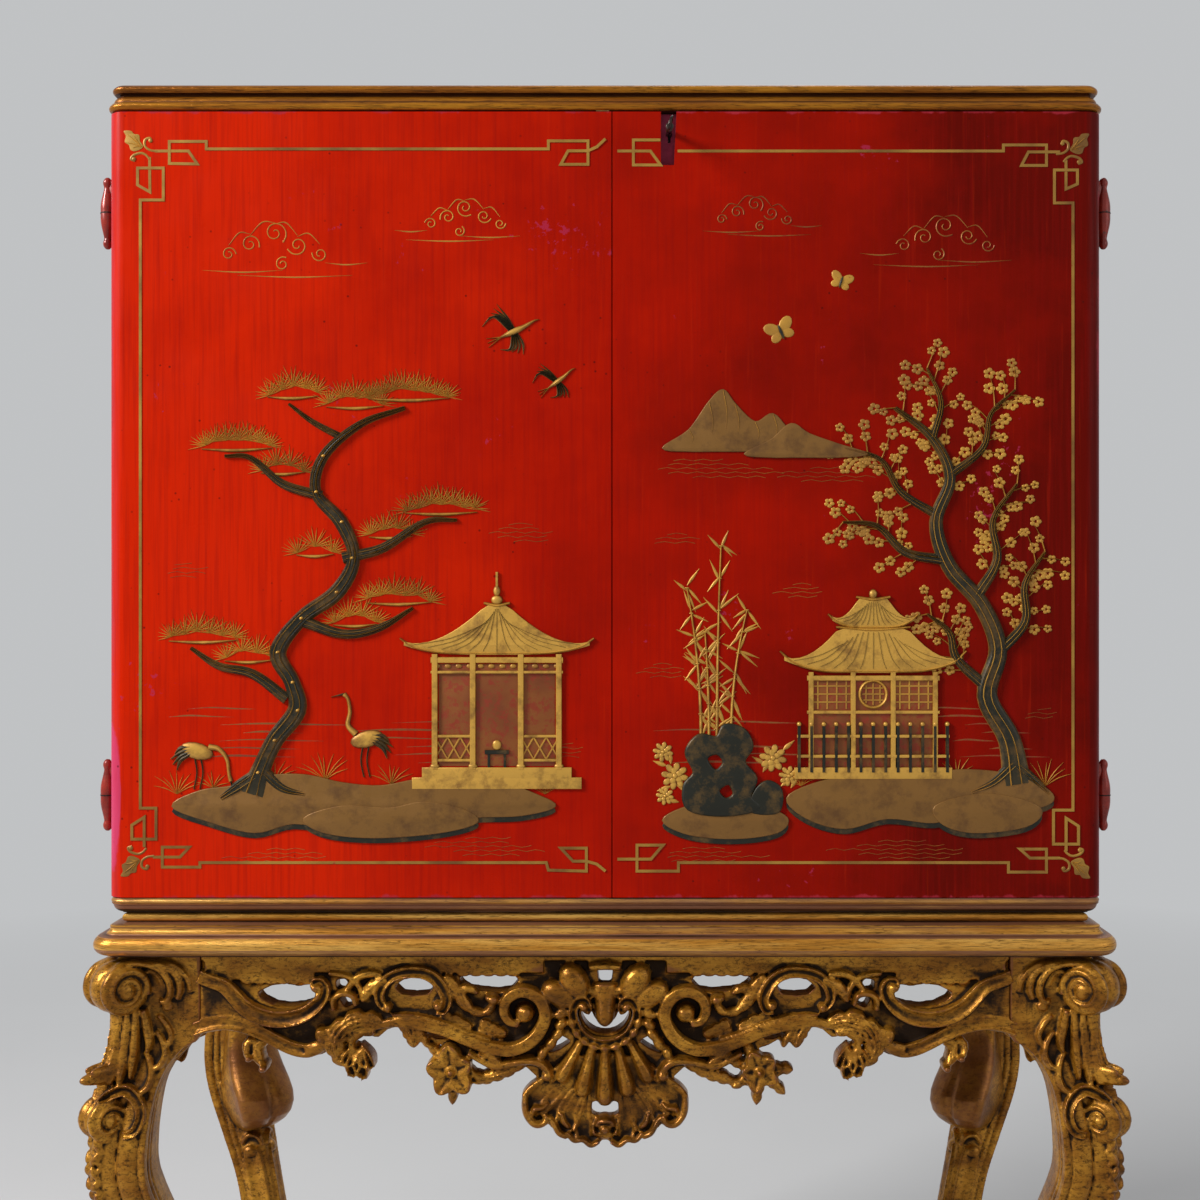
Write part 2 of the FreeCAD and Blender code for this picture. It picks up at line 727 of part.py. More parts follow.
lock_x = (key_offset - lock_left, key_offset + lock_right)
lock_y = (door_back - lock_depth, door_back)
lock_z = (key_level - lock_below, door_top)
bolt_x = (key_offset - bolt_edge_gap - bolt_width, key_offset - bolt_edge_gap)
bolt_y = (lock_y[0] + lock_wall + bolt_side_gap, lock_y[0] + lock_wall + bolt_side_gap + bolt_depth)
talon_level = key_level - lock_travel / 2
stump_x = (bolt_x[0] + bolt_x[1]) / 2 - stump_radius
stump_z = talon_level + talon_height / 2 + lock_travel + 3 * stump_radius
key_bit_y = (bolt_y[1] - bit_length, bolt_y[1])


def widened(limits, gap):
    return (limits[0] - gap, limits[1] + gap)


def right_door():
    """Door with the lock let into its back, the keyhole and the open recess in its face."""
    solid = door_board(right_edge, 1)
    solid = solid.cut(box(lock_x, (lock_y[0], lock_y[1] + overrun), (lock_z[0], lock_z[1] + overrun)))
    right = key_offset + recess_inner_gap
    left = right - recess_width
    recess = [
        (left, door_top + overrun), (right, door_top + overrun),
        (right - recess_taper, door_top - recess_length),
        (left, door_top - recess_length),
    ]
    solid = solid.cut(face(recess, lambda x, z: V(x, front - overrun, z)).extrude(
        V(0, recess_depth + overrun, 0)))
    return solid.cut(keyhole(keyhole_gap, (front, lock_y[0] + overrun)))


def lock_case():
    """Shallow steel tray with a keyhole in its front, a bolt hole in its top and the bolt's stump."""
    solid = box(lock_x, lock_y, lock_z)
    inner_y = (lock_y[0] + lock_wall, lock_y[1] + overrun)
    solid = solid.cut(box(widened(lock_x, -lock_wall), inner_y, widened(lock_z, -lock_wall)))
    solid = solid.cut(keyhole(keyhole_gap, (lock_y[0] - overrun, lock_y[0] + lock_wall + overrun)))
    top = (lock_z[1] - lock_wall - overrun, lock_z[1] + overrun)
    solid = solid.cut(box(widened(bolt_x, bolt_side_gap), widened(bolt_y, bolt_side_gap), top))
    stump = Part.makeCylinder(
        stump_radius, lock_depth - 2 * lock_wall, V(stump_x, lock_y[0] + lock_wall, stump_z), REAR)
    return solid.fuse(stump).removeSplitter()


def lock_cover():
    """Plate that closes the tray, flush with the door's back."""
    return box(widened(lock_x, -lock_wall), (lock_y[1] - lock_wall, lock_y[1]), widened(lock_z, -lock_wall))


def drill_pin():
    """Pin on the cover that the hollow key turns on."""
    length = lock_depth - lock_wall + recess_depth / 2
    return Part.makeCylinder(drill_pin_radius, length, V(key_offset, lock_y[1] - lock_wall, key_level), -REAR)


def lock_bolt():
    """Bolt with a talon for the key's bit and a slot for the stump."""
    level = (talon_level - bolt_below, door_top - bolt_inside)
    solid = box(bolt_x, bolt_y, level)
    deep = key_offset - bit_reach - talon_reach_gap
    talon = widened((talon_level, talon_level), talon_height / 2)
    notch = box((deep, bolt_x[1] + overrun), widened(bolt_y, overrun), talon)
    slot_radius = stump_radius + stump_gap
    thick = (bolt_y[0] - overrun, bolt_y[1] + overrun)
    slot = box((stump_x - slot_radius, stump_x + slot_radius), thick, (stump_z - lock_travel, stump_z))
    for level in (stump_z - lock_travel, stump_z):
        end = Part.makeCylinder(slot_radius, thick[1] - thick[0], V(stump_x, thick[0], level), REAR)
        slot = slot.fuse(end)
    return solid.cut(notch).cut(slot)


def key():
    """Hollow key with its bit in the lock and its bow standing out in front of the door."""
    tip = lock_y[1] - lock_wall - shank_end_gap
    shank = Part.makeCylinder(shank_radius, shank_length, V(0, tip, 0), -REAR)
    bit = box((-bit_thickness / 2, bit_thickness / 2), key_bit_y, (-bit_reach, 0))
    bit.rotate(ORIGIN, REAR, bit_start_angle)
    shoulder = tip - shank_length
    collar_end = V(0, shoulder + key_collar_length, 0)
    collar = Part.makeCylinder(key_collar_radius, key_collar_length, collar_end, -REAR)
    rim, eye = [
        faceted([(radius, -bow_thickness / 2), (radius, bow_thickness / 2)], turned_sides)
        for radius in (bow_radius, bow_radius - bow_bar)
    ]
    bow = rim.cut(eye)
    bow.rotate(ORIGIN, REAR, quarter + bow_tilt)
    bow.translate(V(0, shoulder - bow_radius + bow_bar / 2, 0))
    bore = Part.makeCylinder(shank_bore, lock_depth + recess_depth, V(0, tip + overrun, 0), -REAR)
    solid = joined([shank, bit, collar, bow]).cut(bore)
    solid.translate(V(key_offset, 0, key_level))
    return solid


def strike_seat():
    """Pocket in the crown for the strike plate, and the hole above it for the bolt."""
    middle = (bolt_x[0] + bolt_x[1]) / 2, (bolt_y[0] + bolt_y[1]) / 2
    plate = (
        (middle[0] - strike_length / 2, middle[0] + strike_length / 2),
        (middle[1] - strike_width / 2, middle[1] + strike_width / 2),
    )
    deep = crown_base + lock_travel + strike_gap
    return plate, box(widened(bolt_x, strike_gap), widened(bolt_y, strike_gap), (crown_base - overrun, deep))


def strike_plate():
    plate, hole = strike_seat()
    return box(*plate, (crown_base, crown_base + strike_thickness)).cut(hole)


flush_x = left_edge - flush_rod_inset
flush_y = (front + door_back) / 2
keeper_plan = (
    (flush_x - keeper_width / 2, flush_x + keeper_width / 2),
    (flush_y - keeper_length / 2, flush_y + keeper_length / 2),
)


def flush_bar(ends, gap):
    """Square bar of a flush bolt, or with a gap the hole it needs."""
    half = flush_rod_width / 2 + gap
    return box((flush_x - half, flush_x + half), (flush_y - half, flush_y + half), ends)


def keeper_hole(level, up):
    """Hole that a flush bolt's rod enters, above or below its plate."""
    depth = flush_travel + strike_gap
    ends = (level - overrun, level + depth) if up > 0 else (level - depth, level + overrun)
    return flush_bar(ends, strike_gap)


def keeper(level, up):
    ends = (level, level + strike_thickness) if up > 0 else (level - strike_thickness, level)
    return box(*keeper_plan, ends).cut(keeper_hole(level, up))


def flush_parts(end, up):
    """A flush bolt at one end of the left door: its plate, its rod, and what the door gives up for them."""
    def span(near, far):
        low, high = sorted((end - up * near, end - up * far))
        return (low, high)

    outer_x = (left_edge - flush_plate_thickness, left_edge)
    plate_y = (flush_y - flush_plate_width / 2, flush_y + flush_plate_width / 2)
    plate = box(outer_x, plate_y, span(0, flush_plate_length))
    half = thumb_width / 2
    thumb = span(thumb_from_end, thumb_from_end + thumb_length)
    window = span(thumb_from_end - flush_travel, thumb_from_end + thumb_length)
    slot_y = (flush_y - half - thumb_gap, flush_y + half + thumb_gap)
    plate = plate.cut(box(widened(outer_x, overrun), slot_y, widened(window, thumb_gap)))
    rod = flush_bar(span(flush_rod_sunk, flush_rod_length), 0)
    rod = rod.fuse(box((flush_x, left_edge - thumb_gap), (flush_y - half, flush_y + half), thumb))
    bore = flush_bar(span(-overrun, flush_rod_length), flush_rod_gap)
    pocket = box((flush_x, left_edge), slot_y, widened(window, thumb_gap))
    seat = box((outer_x[0], left_edge + overrun), plate_y, span(-overrun, flush_plate_length))
    return plate, rod.removeSplitter(), [bore, pocket, seat]


def glass_battens():
    """Two wooden battens that carry the ends of the glass shelf."""
    level = shelf_top + glass_height
    batten = box(
        (side_inner - batten_width, side_inner), (case_front + glass_setback, back_front - glass_back_gap),
        (level - batten_height, level),
    )
    return Part.makeCompound([batten, mirrored(batten, RIGHT)])


def right_side():
    """Side board with the hinge leaves let into its front edge."""
    solid = box((side_inner, half_width), (case_front, back_front), (plinth_top, crown_base))
    for level in hinge_levels.values():
        solid = solid.cut(leaf_seat(level, False))
    return solid


def case_parts():
    """Boards, mouldings and fittings of the case, by node name."""
    shelf_y = (case_front + shelf_setback, back_front)
    inside = (-side_inner, side_inner)
    crown = rounded_frame(crown_shares, crown_height, crown_width, crown_base)
    plate, hole = strike_seat()
    plate_deep = (crown_base - overrun, crown_base + strike_thickness)
    for cut in (box(*plate, plate_deep), hole, box(*keeper_plan, plate_deep), keeper_hole(crown_base, 1)):
        crown = crown.cut(cut)
    plinth = rounded_frame(plinth_shares, plinth_height, plinth_width, stand_height)
    plinth = plinth.cut(box(*keeper_plan, (plinth_top - strike_thickness, plinth_top + overrun)))
    plinth = plinth.cut(keeper_hole(plinth_top, -1))
    side = right_side()
    glass_base = shelf_top + glass_height
    return {
        "crown_moulding": crown,
        "crown_board": box(
            (-half_width + crown_width, half_width - crown_width), (front + crown_width, back),
            (crown_base, overall_height),
        ),
        "case_top": box(inside, (case_front, back_front), (ceiling, crown_base)),
        "case_bottom": box(inside, (case_front, back_front), (plinth_top, floor_top)),
        "right_side": side,
        "left_side": mirrored(side, RIGHT),
        "back_board": box((-half_width, half_width), (back_front, back), (plinth_top, crown_base)),
        "plinth_moulding": plinth,
        "plinth_board": box(
            (-half_width + plinth_width, half_width - plinth_width), (front + plinth_width, back),
            (stand_height, plinth_top),
        ),
        "middle_shelf": box(inside, shelf_y, (shelf_base, shelf_top)),
        "bottle_divider": box(
            (-divider_offset - divider_thickness, -divider_offset), shelf_y, (floor_top, shelf_base)),
        "glass_shelf": box(
            widened(inside, -glass_clearance), (case_front + glass_setback, back_front - glass_back_gap),
            (glass_base, glass_base + glass_thickness),
        ),
        "glass_battens": glass_battens(),
        "mirror": box(
            widened(inside, -mirror_margin), (back_front - mirror_thickness, back_front),
            (shelf_top, ceiling - mirror_margin),
        ),
        "strike_plate": strike_plate(),
        "upper_bolt_keeper": keeper(crown_base, 1),
        "lower_bolt_keeper": keeper(plinth_top, -1),
    }


def door_parts():
    """Doors, flush bolts, lock and key, by node name."""
    left = door_board(left_edge, -1)
    parts = {}
    for name, end, up in (("upper", door_top, 1), ("lower", door_base, -1)):
        parts[name + "_bolt_plate"], parts[name + "_bolt"], cuts = flush_parts(end, up)
        for cut in cuts:
            left = left.cut(cut)
    parts.update({
        "left_door": left, "right_door": right_door(), "lock_case": lock_case(), "lock_cover": lock_cover(),
        "drill_pin": drill_pin(), "lock_bolt": lock_bolt(), "key": key(),
    })
    return parts


def hinge_parts():
    """Four olive hinges, each with two halves and a ring between them."""
    def pair(shape):
        return [shape.translated(V(hinge_x, hinge_y, level)) for level in hinge_levels.values()]

    def both_sides(shapes):
        return Part.makeCompound(shapes + [mirrored(shape, RIGHT) for shape in shapes])

    door_halves = Part.makeCompound(pair(hinge_half(True)))
    return {
        "right_hinge_door_halves": door_halves,
        "left_hinge_door_halves": mirrored(door_halves, RIGHT),
        "hinge_case_halves": both_sides(pair(hinge_half(False))),
        "hinge_rings": both_sides(pair(hinge_ring())),
    }


def stand_parts():
    """Moulding, boards, rails and legs of the stand, by node name."""
    inner = stand_half - moulding_width
    side = side_apron()
    rear_right = leg(horn())
    front_right = mirrored(leg([]), REAR)
    return {
        "stand_moulding": mitred_frame(stand_shares, moulding_height, moulding_width, moulding_base),
        "stand_board": box(
            (-inner, inner), (front + moulding_width, back), (stand_height - stand_board, stand_height)),
        "front_apron": front_apron(),
        "right_apron": side,
        "left_apron": mirrored(side, RIGHT),
        "back_rail": back_rail(),
        "corner_blocks": corner_blocks(),
        "rear_right_leg": rear_right,
        "front_right_leg": front_right,
        "rear_left_leg": mirrored(rear_right, RIGHT),
        "front_left_leg": mirrored(front_right, RIGHT),
    }


os.makedirs("parts", exist_ok=True)
for part_name, part_shape in {**case_parts(), **door_parts(), **hinge_parts(), **stand_parts()}.items():
    part_shape.exportStep(f"parts/{part_name}.step")
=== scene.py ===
import bpy
import math
import random
import numpy as np
from mathutils import Matrix, Vector, noise


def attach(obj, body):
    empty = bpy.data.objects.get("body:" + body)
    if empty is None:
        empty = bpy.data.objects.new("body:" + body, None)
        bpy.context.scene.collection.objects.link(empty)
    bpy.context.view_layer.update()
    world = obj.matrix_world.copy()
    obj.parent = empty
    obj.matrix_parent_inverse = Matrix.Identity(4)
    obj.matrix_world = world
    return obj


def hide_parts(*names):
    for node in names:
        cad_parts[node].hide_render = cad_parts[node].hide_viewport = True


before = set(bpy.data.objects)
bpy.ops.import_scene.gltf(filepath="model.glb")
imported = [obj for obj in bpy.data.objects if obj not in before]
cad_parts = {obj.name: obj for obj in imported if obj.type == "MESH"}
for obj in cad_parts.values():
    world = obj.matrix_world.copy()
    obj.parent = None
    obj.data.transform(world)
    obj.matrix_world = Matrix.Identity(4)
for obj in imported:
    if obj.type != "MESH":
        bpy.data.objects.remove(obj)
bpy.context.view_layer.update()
bpy.ops.object.select_all(action="DESELECT")

# Sizes in millimetres, as in the cabinet's own source; meshes are scaled to metres when they are made
MM = 0.001
HALF_WIDTH, STAND_HALF, FRONT, BACK = 498.6, 493.5, -210, 210
DOOR_LOW, DOOR_HIGH = 746.5, 1532.5
STAND_TOP, MOULDING_LOW, CROWN_LOW = 729.5, 688, 1533.5
CORNER = 17
APRON_FRONT = 206.5
JOINT = 406
HINGE_X, HINGE_Y = 506.2, -184.5
HINGE_LEVELS = (1437, 846)
KEY_X, KEY_Z = 64.4, 1512


# Finishes

def finish(name, roughness=0.5, metallic=0):
    """New material with its shader's plain values set."""
    made = bpy.data.materials.new(name)
    made.use_nodes = True
    shader = made.node_tree.nodes["Principled BSDF"]
    shader.inputs["Roughness"].default_value = roughness
    shader.inputs["Metallic"].default_value = metallic
    return made


class Graph:
    """Short words for a material's nodes."""

    def __init__(self, made):
        self.tree = made.node_tree
        self.shader = self.tree.nodes["Principled BSDF"]
        self.place = self.node("ShaderNodeTexCoord").outputs["Object"]

    def node(self, kind, **settings):
        made = self.tree.nodes.new(kind)
        for key, value in settings.items():
            setattr(made, key, value)
        return made

    def link(self, source, target):
        self.tree.links.new(source, target)

    def feed(self, socket, value):
        if isinstance(value, bpy.types.NodeSocket):
            self.link(value, socket)
        else:
            socket.default_value = value

    def math(self, operation, a, b=0, clamp=False):
        made = self.node("ShaderNodeMath", operation=operation, use_clamp=clamp)
        self.feed(made.inputs[0], a)
        self.feed(made.inputs[1], b)
        return made.outputs[0]

    def plus(self, a, b):
        return self.math("ADD", a, b)

    def times(self, a, b):
        return self.math("MULTIPLY", a, b)

    def most(self, a, b):
        return self.math("MAXIMUM", a, b)

    def stretch(self, scale):
        made = self.node("ShaderNodeMapping")
        self.link(self.place, made.inputs["Vector"])
        made.inputs["Scale"].default_value = scale
        return made.outputs[0]

    def noise(self, scale, detail=4, rough=0.55, stretch=(1, 1, 1)):
        made = self.node("ShaderNodeTexNoise")
        self.link(self.stretch(stretch), made.inputs["Vector"])
        made.inputs["Scale"].default_value = scale
        made.inputs["Detail"].default_value = detail
        made.inputs["Roughness"].default_value = rough
        return made.outputs["Fac"]

    def cells(self, scale, stretch=(1, 1, 1)):
        made = self.node("ShaderNodeTexVoronoi")
        self.link(self.stretch(stretch), made.inputs["Vector"])
        made.inputs["Scale"].default_value = scale
        return made.outputs["Distance"]

    def ramp(self, value, *stops):
        made = self.node("ShaderNodeValToRGB")
        self.feed(made.inputs[0], value)
        band = made.color_ramp
        while len(band.elements) < len(stops):
            band.elements.new(0.5)
        for element, (place, colour) in zip(band.elements, stops):
            element.position = place
            grey = isinstance(colour, (int, float))
            element.color = (colour, colour, colour, 1) if grey else (*colour, 1)
        return made.outputs["Color"]

    def mix(self, share, below, above):
        made = self.node("ShaderNodeMix", data_type="RGBA")
        self.feed(made.inputs[0], share)
        for socket, value in ((made.inputs[6], below), (made.inputs[7], above)):
            self.feed(socket, (*value, 1) if isinstance(value, tuple) else value)
        return made.outputs[2]

    def axes(self):
        made = self.node("ShaderNodeSeparateXYZ")
        self.link(self.place, made.inputs[0])
        return made.outputs

    def near(self, value, middle, reach):
        """One at the middle, falling to nothing at the reach."""
        away = self.math("ABSOLUTE", self.math("SUBTRACT", value, middle))
        return self.math("SUBTRACT", 1, self.math("DIVIDE", away, reach), clamp=True)

    def attribute(self, name):
        return self.node("ShaderNodeAttribute", attribute_name=name).outputs["Fac"]

    def bump(self, height, strength, distance):
        made = self.node("ShaderNodeBump")
        made.inputs["Strength"].default_value = strength
        made.inputs["Distance"].default_value = distance
        self.feed(made.inputs["Height"], height)
        self.link(made.outputs[0], self.shader.inputs["Normal"])

    def colour(self, value):
        self.feed(self.shader.inputs["Base Color"], value)

    def roughness(self, value):
        self.feed(self.shader.inputs["Roughness"], value)


# Lit, middle and shaded red of the lacquer, for the painted light across the doors
LACQUER_LIT = (0.66, 0.017, 0.0004)
LACQUER = (0.44, 0.0075, 0.0004)
LACQUER_SHADED = (0.14, 0.003, 0.0006)
UNDERCOAT = (0.42, 0.06, 0.115)
ROUNDED_FROM = -0.178
SEAM_X = 0.007
RECESS_X, RECESS_HALF, RECESS_LOW = 0.0637, 0.0085, 1.476
RECESS_FRONT, RECESS_BACK = -0.2097, -0.1995


def lacquer_finish():
    """Old red lacquer: brushed upright, mottled, speckled, scratched and worn to pink at the edges, with
    painted light: paler to the left, darker to the right, and a pink highlight down the left rounded edge.
    """
    made = finish("worn_red_lacquer", 0.36)
    g = Graph(made)
    g.shader.inputs["Specular IOR Level"].default_value = 0.06
    x, y, z = g.axes()
    # Painted light: the red turns paler towards the left and darker towards the right, over the random
    # mottling.
    mottle_and_painted_light = g.plus(g.times(g.noise(5, 5, 0.6), 0.6), g.times(x, -0.56))
    colour = g.ramp(mottle_and_painted_light, (0.04, LACQUER_SHADED), (0.32, LACQUER), (0.52, LACQUER_LIT))
    streak = g.noise(9, 4, 0.6, (28, 28, 0.9))
    colour = g.mix(g.ramp(streak, (0.45, 0), (0.75, 0.45)), colour, (0.27, 0.0045, 0.003))
    pale = g.noise(14, 3, 0.6, (22, 22, 0.7))
    colour = g.mix(g.ramp(pale, (0.6, 0), (0.84, 0.2)), colour, (0.78, 0.04, 0.004))
    near_front = g.math("LESS_THAN", y, ROUNDED_FROM)
    edge_x = g.times(g.near(g.math("ABSOLUTE", x), HALF_WIDTH * MM, 0.026), near_front)
    seam = g.times(g.near(x, SEAM_X, 0.006), 0.8)
    edge_z = g.most(g.near(z, DOOR_HIGH * MM, 0.013), g.near(z, DOOR_LOW * MM, 0.016))
    edge = g.most(g.most(edge_x, seam), edge_z)
    ragged = g.times(edge, g.noise(34, 6, 0.7, (1, 1, 0.35)))
    worn = g.ramp(ragged, (0.46, 0), (0.53, 0.75))
    colour = g.mix(worn, colour, g.mix(g.noise(60, 3), (0.25, 0.006, 0.012), (0.6, 0.05, 0.08)))
    # Painted highlight: streaked pink down the rounded front edge on the left side only.
    highlight_on_left_round = g.times(g.near(x, -HALF_WIDTH * MM, 0.014), near_front)
    highlight_streaks = g.ramp(g.noise(26, 5, 0.7, (5, 5, 0.5)), (0.35, 0.3), (0.6, 1))
    pink = g.mix(g.noise(30, 5, 0.7, (6, 6, 0.6)), (0.22, 0.01, 0.012), (0.62, 0.06, 0.085))
    colour = g.mix(g.times(highlight_on_left_round, highlight_streaks), colour, pink)
    wavy = g.plus(z, g.times(g.noise(40, 3), 0.05))
    low_left = g.times(g.near(wavy, 0.872, 0.085), g.near(x, -HALF_WIDTH * MM, 0.0165))
    bare = g.mix(g.noise(55, 4, 0.6, (1, 1, 0.3)), (0.5, 0.022, 0.06), (0.66, 0.075, 0.19))
    colour = g.mix(g.ramp(low_left, (0.1, 0), (0.16, 0.9)), colour, bare)
    patches = g.times(g.noise(11, 2, 0.4), g.noise(90, 4, 0.7))
    colour = g.mix(g.ramp(patches, (0.44, 0), (0.455, 0.6)), colour, (0.46, 0.03, 0.085))
    specks = g.cells(75)
    sparse = g.ramp(g.noise(12, 3), (0.5, 0), (0.6, 1))
    dots = g.times(g.ramp(specks, (0.05, 1), (0.11, 0)), sparse)
    colour = g.mix(g.times(dots, 0.75), colour, (0.07, 0.004, 0.003))
    inside = g.times(g.math("GREATER_THAN", y, RECESS_FRONT), g.near(x, RECESS_X, RECESS_HALF))
    inside = g.times(g.math("GREATER_THAN", inside, 0.01), g.math("GREATER_THAN", z, RECESS_LOW))
    inside = g.times(inside, g.math("LESS_THAN", y, RECESS_BACK))
    colour = g.mix(inside, colour, g.mix(g.noise(120, 5), (0.17, 0.018, 0.035), UNDERCOAT))
    g.colour(colour)
    g.roughness(g.ramp(g.noise(18, 4), (0.3, 0.22), (0.7, 0.42)))
    g.bump(g.plus(g.times(streak, 0.5), g.noise(30, 5)), 0.18, 0.0012)
    return made


def gilding(name, low, body, high, grain=(0.5, 1, 1), roughness=0.36):
    """Gold leaf over brown ground with dark rubs and hair cracks; also gives the graph to add to."""
    made = finish(name, roughness, 0.55)
    g = Graph(made)
    g.shader.inputs["Specular IOR Level"].default_value = 0.3
    blotch = g.noise(30, 6, 0.65, grain)
    colour = g.ramp(blotch, (0.24, low), (0.43, body), (0.7, high))
    fine = g.noise(330, 5, 0.75, grain)
    colour = g.mix(g.ramp(fine, (0.5, 0), (0.64, 0.8)), colour, tuple(v * 0.22 for v in body))
    crack = g.near(g.noise(85, 3, 0.6, grain), 0.5, 0.012)
    colour = g.mix(g.times(crack, 0.75), colour, tuple(v * 0.1 for v in body))
    g.bump(g.plus(fine, g.noise(60, 4)), 0.4, 0.0008)
    return made, g, colour


def carved_finish():
    """Gilding with near-black painted shade in the hollows, rubbed to rosy brown along the sharp ridges."""
    made, g, colour = gilding("carved_gold_with_painted_shade", (0.055, 0.018, 0.003), (0.28, 0.105, 0.008),
        (0.62, 0.29, 0.03))
    shake = g.times(g.math("SUBTRACT", g.noise(75, 5, 0.7), 0.5), 0.34)
    ridge = g.plus(g.attribute("ridge"), g.times(shake, 1.6))
    rubbed = g.mix(g.noise(48, 3), (0.11, 0.03, 0.009), (0.34, 0.125, 0.042))
    colour = g.mix(g.ramp(ridge, (0.3, 0), (0.75, 0.85)), colour, rubbed)
    # Painted shade: nearly black where the hollow value is high, in creases and deep behind the carving.
    wander = g.plus(g.attribute("hollow"), shake)
    g.colour(g.mix(g.ramp(wander, (0.5, 0), (0.68, 0.97)), colour, (0.011, 0.0045, 0.0014)))
    g.roughness(g.ramp(wander, (0.3, 0.28), (0.8, 0.75)))
    return made


def moulded_finish(name, low, body, high, rosy_dark, rosy_pale):
    """Gilding bright on the crests of a moulding and worn to rosy brown in its valleys; low crest values also
    paint shade, rosy brown on the lower halves of rolls and nearly black in grooves and undersides.
    """
    made, g, colour = gilding(name, low, body, high, (0.12, 0.12, 2.4), 0.3)
    shake = g.times(g.math("SUBTRACT", g.noise(24, 5, 0.65, (0.25, 0.25, 3)), 0.5), 0.55)
    wander = g.plus(g.attribute("crest"), shake)
    rosy = g.mix(g.noise(30, 4, 0.6, (0.3, 0.3, 2)), rosy_dark, rosy_pale)
    # Rosy brown where the crest value is low: wear in the valleys, and painted shade on the lower halves of
    # rolls.
    colour = g.mix(g.ramp(wander, (0.34, 0.95), (0.6, 0)), colour, rosy)
    # Painted shade: nearly black where the crest value is lowest, in grooves and on undersides.
    g.colour(g.mix(g.ramp(wander, (0.02, 0.97), (0.2, 0)), colour, (0.02, 0.008, 0.003)))
    g.roughness(g.ramp(wander, (0.2, 0.42), (0.8, 0.24)))
    return made


def timber(name, dark, pale, grain=(1, 14, 14)):
    """Stained board with its grain along X."""
    made = finish(name, 0.45)
    g = Graph(made)
    figure = g.noise(6, 6, 0.6, grain)
    g.colour(g.ramp(figure, (0.32, dark), (0.68, pale)))
    g.bump(figure, 0.2, 0.0008)
    g.roughness(g.ramp(figure, (0.3, 0.38), (0.7, 0.55)))
    return made


def metal(name, dark, pale, roughness):
    made = finish(name, roughness, 0.9)
    g = Graph(made)
    cloud = g.noise(90, 5, 0.65)
    g.colour(g.ramp(cloud, (0.35, dark), (0.65, pale)))
    g.roughness(g.ramp(cloud, (0.3, roughness - 0.1), (0.7, roughness + 0.12)))
    g.bump(g.noise(240, 4), 0.15, 0.0004)
    return made


def painted_metal():
    """Hinge metal painted over with the lacquer, rubbed bare and dark in places."""
    made = finish("painted_over_hinge", 0.24, 0.15)
    g = Graph(made)
    body = g.ramp(g.noise(70, 4), (0.3, (0.17, 0.012, 0.006)), (0.7, (0.4, 0.03, 0.014)))
    bare = g.ramp(g.noise(160, 5, 0.7), (0.6, 0), (0.66, 0.85))
    g.colour(g.mix(bare, body, (0.06, 0.03, 0.022)))
    g.roughness(g.ramp(g.noise(90, 4), (0.3, 0.18), (0.7, 0.38)))
    g.bump(g.noise(120, 4), 0.15, 0.0005)
    return made


def see_through():
    made = finish("greenish_glass", 0.03)
    g = Graph(made)
    g.shader.inputs["Transmission Weight"].default_value = 1
    g.shader.inputs["IOR"].default_value = 1.5
    g.colour(g.ramp(g.noise(8, 2), (0.3, (0.9, 0.97, 0.94)), (0.7, (0.94, 0.985, 0.965))))
    return made


def silvered():
    made = finish("old_mirror", 0.04, 1)
    g = Graph(made)
    spots = g.noise(22, 6, 0.7)
    g.colour(g.ramp(spots, (0.28, (0.55, 0.54, 0.5)), (0.4, (0.86, 0.86, 0.85))))
    g.roughness(g.ramp(spots, (0.26, 0.25), (0.38, 0.04)))
    return made


RED = lacquer_finish()
PLAIN_GOLD, plain_graph, plain_colour = gilding("dull_rail_gold", (0.07, 0.024, 0.004),
    (0.27, 0.115, 0.012), (0.46, 0.22, 0.03))
plain_graph.colour(plain_colour)
MOULDED_GOLD = moulded_finish("rubbed_and_shaded_moulding_gold", (0.2, 0.066, 0.009), (0.56, 0.235, 0.026),
    (0.92, 0.53, 0.12), (0.15, 0.055, 0.03), (0.36, 0.165, 0.095))
# The crown's gold is a darker copy of the moulding gold: painted shade over the whole crown.
SHADED_CROWN_GOLD = moulded_finish("shaded_crown_gold", (0.1, 0.028, 0.002), (0.34, 0.105, 0.005),
    (0.6, 0.25, 0.014), (0.055, 0.013, 0.003), (0.15, 0.04, 0.006))
CARVED_GOLD = carved_finish()
STAINED = timber("stained_inside", (0.06, 0.022, 0.01), (0.15, 0.06, 0.026))
UPRIGHT_GRAIN = timber("stained_upright", (0.06, 0.022, 0.01), (0.15, 0.06, 0.026), (14, 14, 1))
IRON = metal("black_iron", (0.012, 0.011, 0.01), (0.04, 0.036, 0.032), 0.42)
BRASS = metal("dull_brass", (0.28, 0.17, 0.055), (0.55, 0.39, 0.15), 0.35)
STEEL = metal("dark_steel", (0.12, 0.11, 0.1), (0.3, 0.29, 0.27), 0.38)
GLASS = see_through()
MIRROR = silvered()


FINISH_OF = {
    RED: ["left_door", "right_door", "left_side", "right_side", "crown_board"],
    STAINED: ["case_top", "case_bottom", "plinth_board", "middle_shelf", "stand_board", "back_board",
        "glass_battens"],
    UPRIGHT_GRAIN: ["bottle_divider", "corner_blocks"],
    PLAIN_GOLD: ["back_rail"],
    GLASS: ["glass_shelf"],
    MIRROR: ["mirror"],
    BRASS: ["strike_plate", "upper_bolt_keeper", "lower_bolt_keeper", "upper_bolt_plate", "upper_bolt",
        "lower_bolt_plate", "lower_bolt", "lock_bolt"],
    STEEL: ["lock_case", "lock_cover", "drill_pin"],
    IRON: ["hinge_rings"],
}
for chosen, nodes in FINISH_OF.items():
    for node_name in nodes:
        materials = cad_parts[node_name].data.materials
        materials.clear()
        materials.append(chosen)


# Shaping

